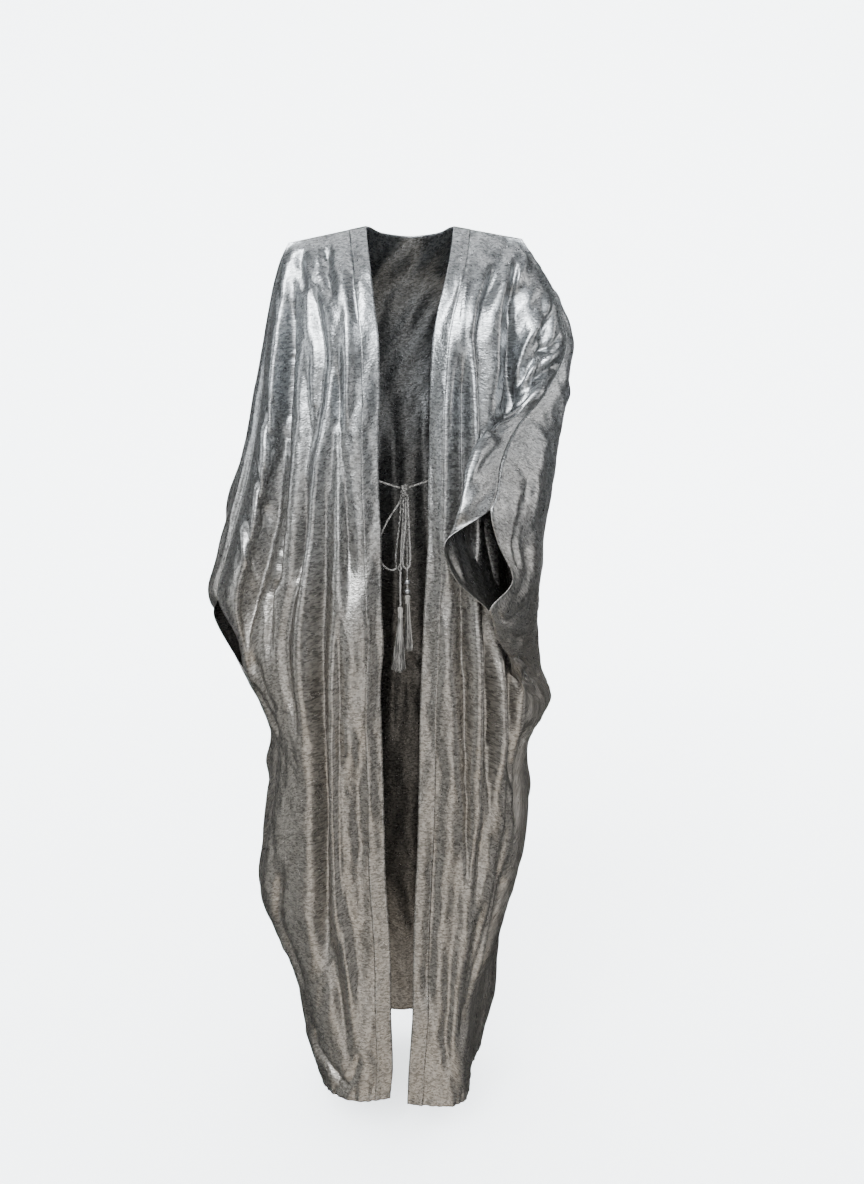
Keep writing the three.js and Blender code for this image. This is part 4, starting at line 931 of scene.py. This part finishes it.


# Finish of the cloth: grain to a metre and its lean, depths of relief in metres, colours with painted
# light, cool above and warm below
GRAIN = (300, 500, 1)
GRAIN_LEAN = 0.3
GRAIN_RELIEF, FINE_RELIEF, CRUMPLE_RELIEF = 0.0003, 0.00008, 0.0003
# Colours and heights of painted light: the cool colour as lit from above, the warmer, darker colour as
# under warm light from below
COLOUR_LIT_COOL, COLOUR_LIT_WARM = (0.31, 0.32, 0.33), (0.29, 0.27, 0.246)
COOL_LIGHT_LEVEL, WARM_LIGHT_LEVEL = -0.05, -0.85


def lame(name, dark=1.0, metallic=0.96):
    """Crinkled metallic cloth: hammered grain with painted sparkle over fine crumple, painted cool light
    above and painted warm light below.
    """
    material, nodes, main = shader(name, (0.3, 0.3, 0.3), metallic, 0.3)
    place = nodes.new("ShaderNodeTexCoord").outputs
    stretch = {"Vector": place["UV"], "Scale": GRAIN, "Rotation": (0, 0, GRAIN_LEAN)}
    cloth = node(nodes, "Mapping", "Vector", stretch)
    wander = noise(nodes, cloth, 0.35, 2.0, gives="Color")
    shifted = node(nodes, "Mix", 1, {0: 0.06, 4: cloth, 5: wander}, data_type="VECTOR")
    cells = {"Vector": cloth, "Scale": 1.0, "Smoothness": 0.35}
    grain = node(nodes, "TexVoronoi", "Distance", cells, feature="SMOOTH_F1")
    crumple = noise(nodes, place["UV"], 90.0, 5.0, 0.62)
    surface = relief(nodes, grain, GRAIN_RELIEF)
    fine = noise(nodes, cloth, 2.6, 3.0, 0.6)
    surface = relief(nodes, fine, FINE_RELIEF, under=surface)
    surface = relief(nodes, crumple, CRUMPLE_RELIEF, under=surface)

    # Painted light: the colour turns by height from cool above to warmer and darker below, standing in for
    # warm light from below, with random patches of tone
    level = node(nodes, "SeparateXYZ", "Z", {"Vector": place["Object"]})
    smooth = {"interpolation_type": "SMOOTHSTEP"}
    down = ranged(nodes, level, COOL_LIGHT_LEVEL, WARM_LIGHT_LEVEL, 0.0, 1.0, **smooth)
    patch = noise(nodes, place["UV"], 7.0, 3.0)
    lowered = node(nodes, "Math", "Value", {0: down, 1: 0.25}, operation="SUBTRACT")
    mixed = node(nodes, "Math", "Value", {0: patch, 1: 0.5, 2: lowered}, operation="MULTIPLY_ADD")
    tone_and_painted_light = ramp(nodes, mixed, (0.1, times(COLOUR_LIT_COOL, dark)), (0.9, times(COLOUR_LIT_WARM, dark)))
    # Painted sparkle: each grain cell's colour is made randomly lighter or darker, standing in for glints
    # off the crinkles
    cell = node(nodes, "TexVoronoi", "Color", {"Vector": shifted, "Scale": 1.0}, feature="F1")
    spark = node(nodes, "SeparateColor", "Red", {"Color": cell})
    painted_sparkle = ranged(nodes, spark, 0.1, 0.9, 0.6, 1.4)
    mixing = {"data_type": "RGBA", "blend_type": "MULTIPLY"}
    put(main, {
        "Specular Tint": (0.5, 0.5, 0.5, 1),
        "Normal": surface,
        "Base Color": node(nodes, "Mix", 2, {0: 1.0, 6: tone_and_painted_light, 7: painted_sparkle}, **mixing),
        "Roughness": ranged(nodes, crumple, 0.3, 0.7, 0.25, 0.36),
    })
    return material


def thread(name, color, streaks, roughness=0.55, metallic=0.25):
    """Spun thread: fibres in its relief, light and dark strands and streaks in its colour."""
    material, nodes, main = shader(name, color, metallic, roughness)
    place = nodes.new("ShaderNodeTexCoord").outputs["Object"]
    stretch = node(nodes, "Mapping", "Vector", {"Vector": place, "Scale": streaks})
    each = nodes.new("ShaderNodeNewGeometry").outputs["Random Per Island"]
    shares = {0: each, 1: 0.34, 2: noise(nodes, stretch, 1.0, 2.0)}
    mixed = node(nodes, "Math", "Value", shares, operation="MULTIPLY_ADD")
    put(main, {
        "Specular IOR Level": 0.2,
        "Normal": relief(nodes, noise(nodes, place, 900.0, 3.0), 0.0003, 0.5),
        "Base Color": ramp(nodes, mixed, (0.54, times(color, 0.25)), (0.84, times(color, 2.2))),
    })
    return material


def pewter(name, color):
    """Worn cast metal: clouded colour and polish over fine pits."""
    material, nodes, main = shader(name, color, 0.9, 0.3)
    place = nodes.new("ShaderNodeTexCoord").outputs["Object"]
    clouds = noise(nodes, place, 420.0, 4.0, 0.6)
    put(main, {
        "Normal": relief(nodes, noise(nodes, place, 1500.0, 2.0), 0.0001, 0.5),
        "Base Color": ramp(nodes, clouds, (0.36, times(color, 0.45)), (0.62, times(color, 1.5))),
        "Roughness": ranged(nodes, clouds, 0.0, 1.0, 0.42, 0.22),
    })
    return material


# Camera
camera = bpy.data.objects.new("camera", bpy.data.cameras.new("camera"))
camera.location = CAMERA_PLACE
camera.rotation_euler = (math.radians(90 - CAMERA_DOWN), 0, math.radians(-CAMERA_TURN))
camera.data.lens = CAMERA_LENS
bpy.context.scene.collection.objects.link(camera)
bpy.context.scene.camera = camera

# Materials
cloth_face = lame("silver_lame")
# The reverse is a half-as-bright copy of the lame: partly its own duller colour, partly painted shade on
# the inside of the cuffs and openings
cloth_reverse_shaded = lame("silver_lame_reverse_shaded", dark=0.5, metallic=0.94)
# The band is a slightly darker copy of the lame: painted shade along the front edges
cloth_band_shaded = lame("silver_lame_band", dark=0.93)
braid_thread = thread("belt_thread", (0.066, 0.062, 0.058), (420, 420, 420))
tassel_thread = thread("tassel_thread", (0.086, 0.08, 0.073), (620, 620, 14))
sewing_thread = thread("sewing_thread", (0.16, 0.16, 0.155), (300, 300, 300), metallic=0.5)
bead_finish = pewter("bead", (0.36, 0.36, 0.37))

# Belt, its cords first
for name, points in ROUTES.items():
    piece = joined(name + "_plait", plait(points), braid_thread)
    line = even_route(points, CORD_STEP)[0]
    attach(piece, "root")
    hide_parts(name)
knot = joined("knot", knot_parts(), braid_thread)
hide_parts("belt_knot")
beads = {}
for name, centre in BEAD_PLACES.items():
    beads[name] = joined(name + "_turned", [turned(BEAD_OUTLINE, centre)], bead_finish)
    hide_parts(name)
tassels = {}
for seed, (name, sizes) in enumerate(TASSELS.items()):
    tassels[name] = joined(name + "_strands", tassel_parts(seed=seed, **sizes), tassel_thread)
    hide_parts(name)
for piece in (knot, *beads.values(), *tassels.values()):
    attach(piece, "root")


def edge_band(name, panel, points):
    """The band along a front's edge, with the lines of its stitches and their normals."""
    strip = strip_along_edge(points, BAND_WIDTH, BAND_FACES)
    up = grid_normals(strip, panel.outward)
    uv = np.stack([lengths_along(strip, 1), lengths_along(strip, 0)], axis=-1)
    band = grid_mesh(name + "_band", strip + up * BAND_LIFT, uv, cloth_band_shaded, panel.outward)
    thicken(band, BAND_CLOTH)
    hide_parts(name.replace("front", "front_band"))
    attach(band, "root")
    return band, {where: (strip[:, k], up[:, k]) for where, k in BAND_STITCHES.items()}


def side_lines(panel, downs, points, out):
    """Lines of the stitches along a front's seams and cuff, with their normals."""
    inset = lengths_along(points, 1)
    inset = (inset[:, -1:] - inset).T
    grids = [grid.transpose(1, 0, 2) for grid in (points, out)]
    seam, cuff = ([row_at(grid, inset, off) for grid in grids] for off in (SEAM_STITCH, HEM))
    top, foot = (np.searchsorted(downs, panel.levels[row]) for row in panel.cuff)
    return {
        "shoulder": [line[: top + 1] for line in seam],
        "side": [line[foot:] for line in seam],
        "cuff": [line[top : foot + 1] for line in cuff],
    }


# Cloth: each panel with its creases, the size it is cut to in metres and its flat area
right = Panel(
    RIGHT, front_columns(RIGHT, ACROSS_RIGHT), ACROSS_RIGHT.values(), 1, FOLDS_RIGHT, FRONT_FACES,
    CUFF_ROWS["right"],
)
left = Panel(
    LEFT, front_columns(LEFT, ACROSS_LEFT), ACROSS_LEFT.values(), -1, FOLDS_LEFT, FRONT_FACES,
    CUFF_ROWS["left"],
)
back = Panel(RIGHT, back_columns(), ACROSS_BACK, 1, FOLDS_BACK, BACK_FACES)
panels = (
    ("front_right", right, CREASES_RIGHT, (0.32, 1.5), 0.44),
    ("front_left", left, CREASES_LEFT, (0.32, 1.5), 0.44),
    ("back", back, CREASES_BACK, (0.86, 1.5), 1.15),
)
for seed, (name, panel, creases, flat, area) in enumerate(panels):
    across, down = panel.faces
    downs = np.linspace(panel.levels[0], panel.levels[-1], down + 1)
    points, uv = cloth_points(panel, downs, creases, 10 * seed, sewn=2 if panel is back else 1)
    if panel is back:
        points = sew_sides(back, points, downs, right, 0)
        points = sew_sides(back, points, downs, left, -1)
        columns = np.linspace(0, 1, across + 1)
        ends = [ACROSS_BACK[k] for k in NECK_POINTS]
        straighten_shoulder(points, np.flatnonzero(columns <= ends[0])[::-1])
        straighten_shoulder(points, np.flatnonzero(columns >= ends[1]))
    else:
        straighten_shoulder(points, np.arange(across + 1))
    piece = grid_mesh(name + "_cloth", points, uv, cloth_face, panel.outward)
    sewn_on = []
    out = grid_normals(points, panel.outward)
    level = lengths_along(points, 0)
    level = level[-1] - level
    lines = {"hem": (row_at(points, level, HEM), row_at(out, level, HEM))}
    if panel is not back:
        band, band_lines = edge_band(name, panel, points)
        lines |= band_lines | side_lines(panel, downs, points, out)
    for where, (line, normals) in lines.items():
        raised = line + normals * (CLOTH / 2 + (BAND_LIFT if where in BAND_STITCHES else 0))
        sewn_on.append(stitch_line(f"{name}_stitches_{where}", raised, normals, sewing_thread))
    thicken(piece, CLOTH, cloth_reverse_shaded)
    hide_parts(name)
    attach(piece, "root")
    for stitches in sewn_on:
        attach(stitches, "root")

# Studio: a round room in metres, left out of the metal's reflections
FLOOR, CEILING, ROOM, COVE = -1.491, 4.0, 3.4, 0.9
ROOM_SIDES, COVE_STEPS = 64, 12
GLOW = 1.6
sweep = [(0.0, FLOOR), (ROOM - COVE, FLOOR)]
sweep += [
    (ROOM - COVE + COVE * math.sin(a), FLOOR + COVE - COVE * math.cos(a))
    for a in np.linspace(0.1, math.pi / 2, COVE_STEPS)
]
sweep.append((ROOM, CEILING))
turns = np.arange(ROOM_SIDES) / ROOM_SIDES * 2 * math.pi
corners = [(r * math.cos(t), r * math.sin(t), z) for r, z in sweep for t in turns]
walls = []
for j in range(0, (len(sweep) - 1) * ROOM_SIDES, ROOM_SIDES):
    for k in range(ROOM_SIDES):
        after = (k + 1) % ROOM_SIDES
        walls.append((j + k, j + after, j + ROOM_SIDES + after, j + ROOM_SIDES + k))
plain, _, plain_shader = shader("studio", (0.8, 0.81, 0.815), 0.0, 0.9)
put(plain_shader, {"Emission Color": (0.93, 0.97, 1, 1), "Emission Strength": GLOW})
plain.cycles.emission_sampling = "NONE"
stage = new_piece("studio", corners, walls, plain, unit=1)
stage.data.shade_smooth()
stage.visible_glossy = False
stage.visible_shadow = False

# Surroundings that the metal reflects: direction, cosines where each begins and is full, colour
REFLECTED = [
    ((-0.22, -0.75, 0.62), 0.885, 0.965, (12.0, 12.4, 12.6)),
    ((0.4, -0.65, 0.65), 0.93, 0.985, (2.8, 2.9, 3.0)),
    ((0.0, -1.0, -0.05), 0.81, 0.95, (0.86, 0.86, 0.85)),
    ((0.0, -0.8, -0.6), 0.8, 0.97, (0.55, 0.5, 0.43)),
    ((0.0, -0.4, -0.92), 0.7, 0.97, (0.75, 0.68, 0.58)),
    ((-1.0, -0.2, -0.1), 0.8, 0.96, (0.5, 0.5, 0.48)),
    ((1.0, -0.2, -0.1), 0.8, 0.96, (0.48, 0.47, 0.46)),
    ((0.0, 1.0, 0.0), 0.76, 0.95, (0.75, 0.76, 0.76)),
]
world = bpy.data.worlds.new("studio")
bpy.context.scene.world = world
world.use_nodes = True
sky = world.node_tree.nodes
around = sky.new("ShaderNodeTexCoord").outputs["Generated"]
color = sky.new("ShaderNodeRGB").outputs[0]
color.default_value = (0.025, 0.028, 0.032, 1)
for toward, begins, full, light in REFLECTED:
    ways = {0: around, 1: mathutils.Vector(toward).normalized()}
    cosine = node(sky, "VectorMath", "Value", ways, operation="DOT_PRODUCT")
    share = ranged(sky, cosine, begins, full, 0.0, 1.0, interpolation_type="SMOOTHSTEP")
    added = {0: share, 6: color, 7: (*light, 1)}
    color = node(sky, "Mix", 2, added, data_type="RGBA", blend_type="ADD")
put(sky["Background"], {"Color": color})

# Lights: name, place, point aimed at, size in metres, power and colour
LIGHTS = [
    ("key", (-0.7, -1.3, 1.8), (-0.08, -0.05, -0.15), (0.8, 0.8), 45, (0.97, 0.99, 1)),
    ("fill", (2.2, -0.2, 0.2), (0.05, 0, -0.6), (0.4, 1.8), 10, (1, 0.98, 0.95)),
    ("side", (-2.2, -0.1, 0.1), (0, 0, -0.6), (0.4, 1.8), 10, (0.93, 0.97, 1)),
    ("backdrop", (0.0, 0.9, 1.9), (0, 3.2, -0.6), (3.0, 0.6), 60, (1, 1, 1)),
]
for name, place, aim, size, power, color in LIGHTS:
    lamp = bpy.data.lights.new(name, "AREA")
    lamp.shape = "RECTANGLE"
    lamp.size, lamp.size_y = size
    lamp.energy = power
    lamp.color = color
    light = bpy.data.objects.new(name, lamp)
    light.location = place
    toward = mathutils.Vector(np.array(aim) - np.array(place))
    light.rotation_euler = toward.to_track_quat("-Z", "Y").to_euler()
    bpy.context.scene.collection.objects.link(light)
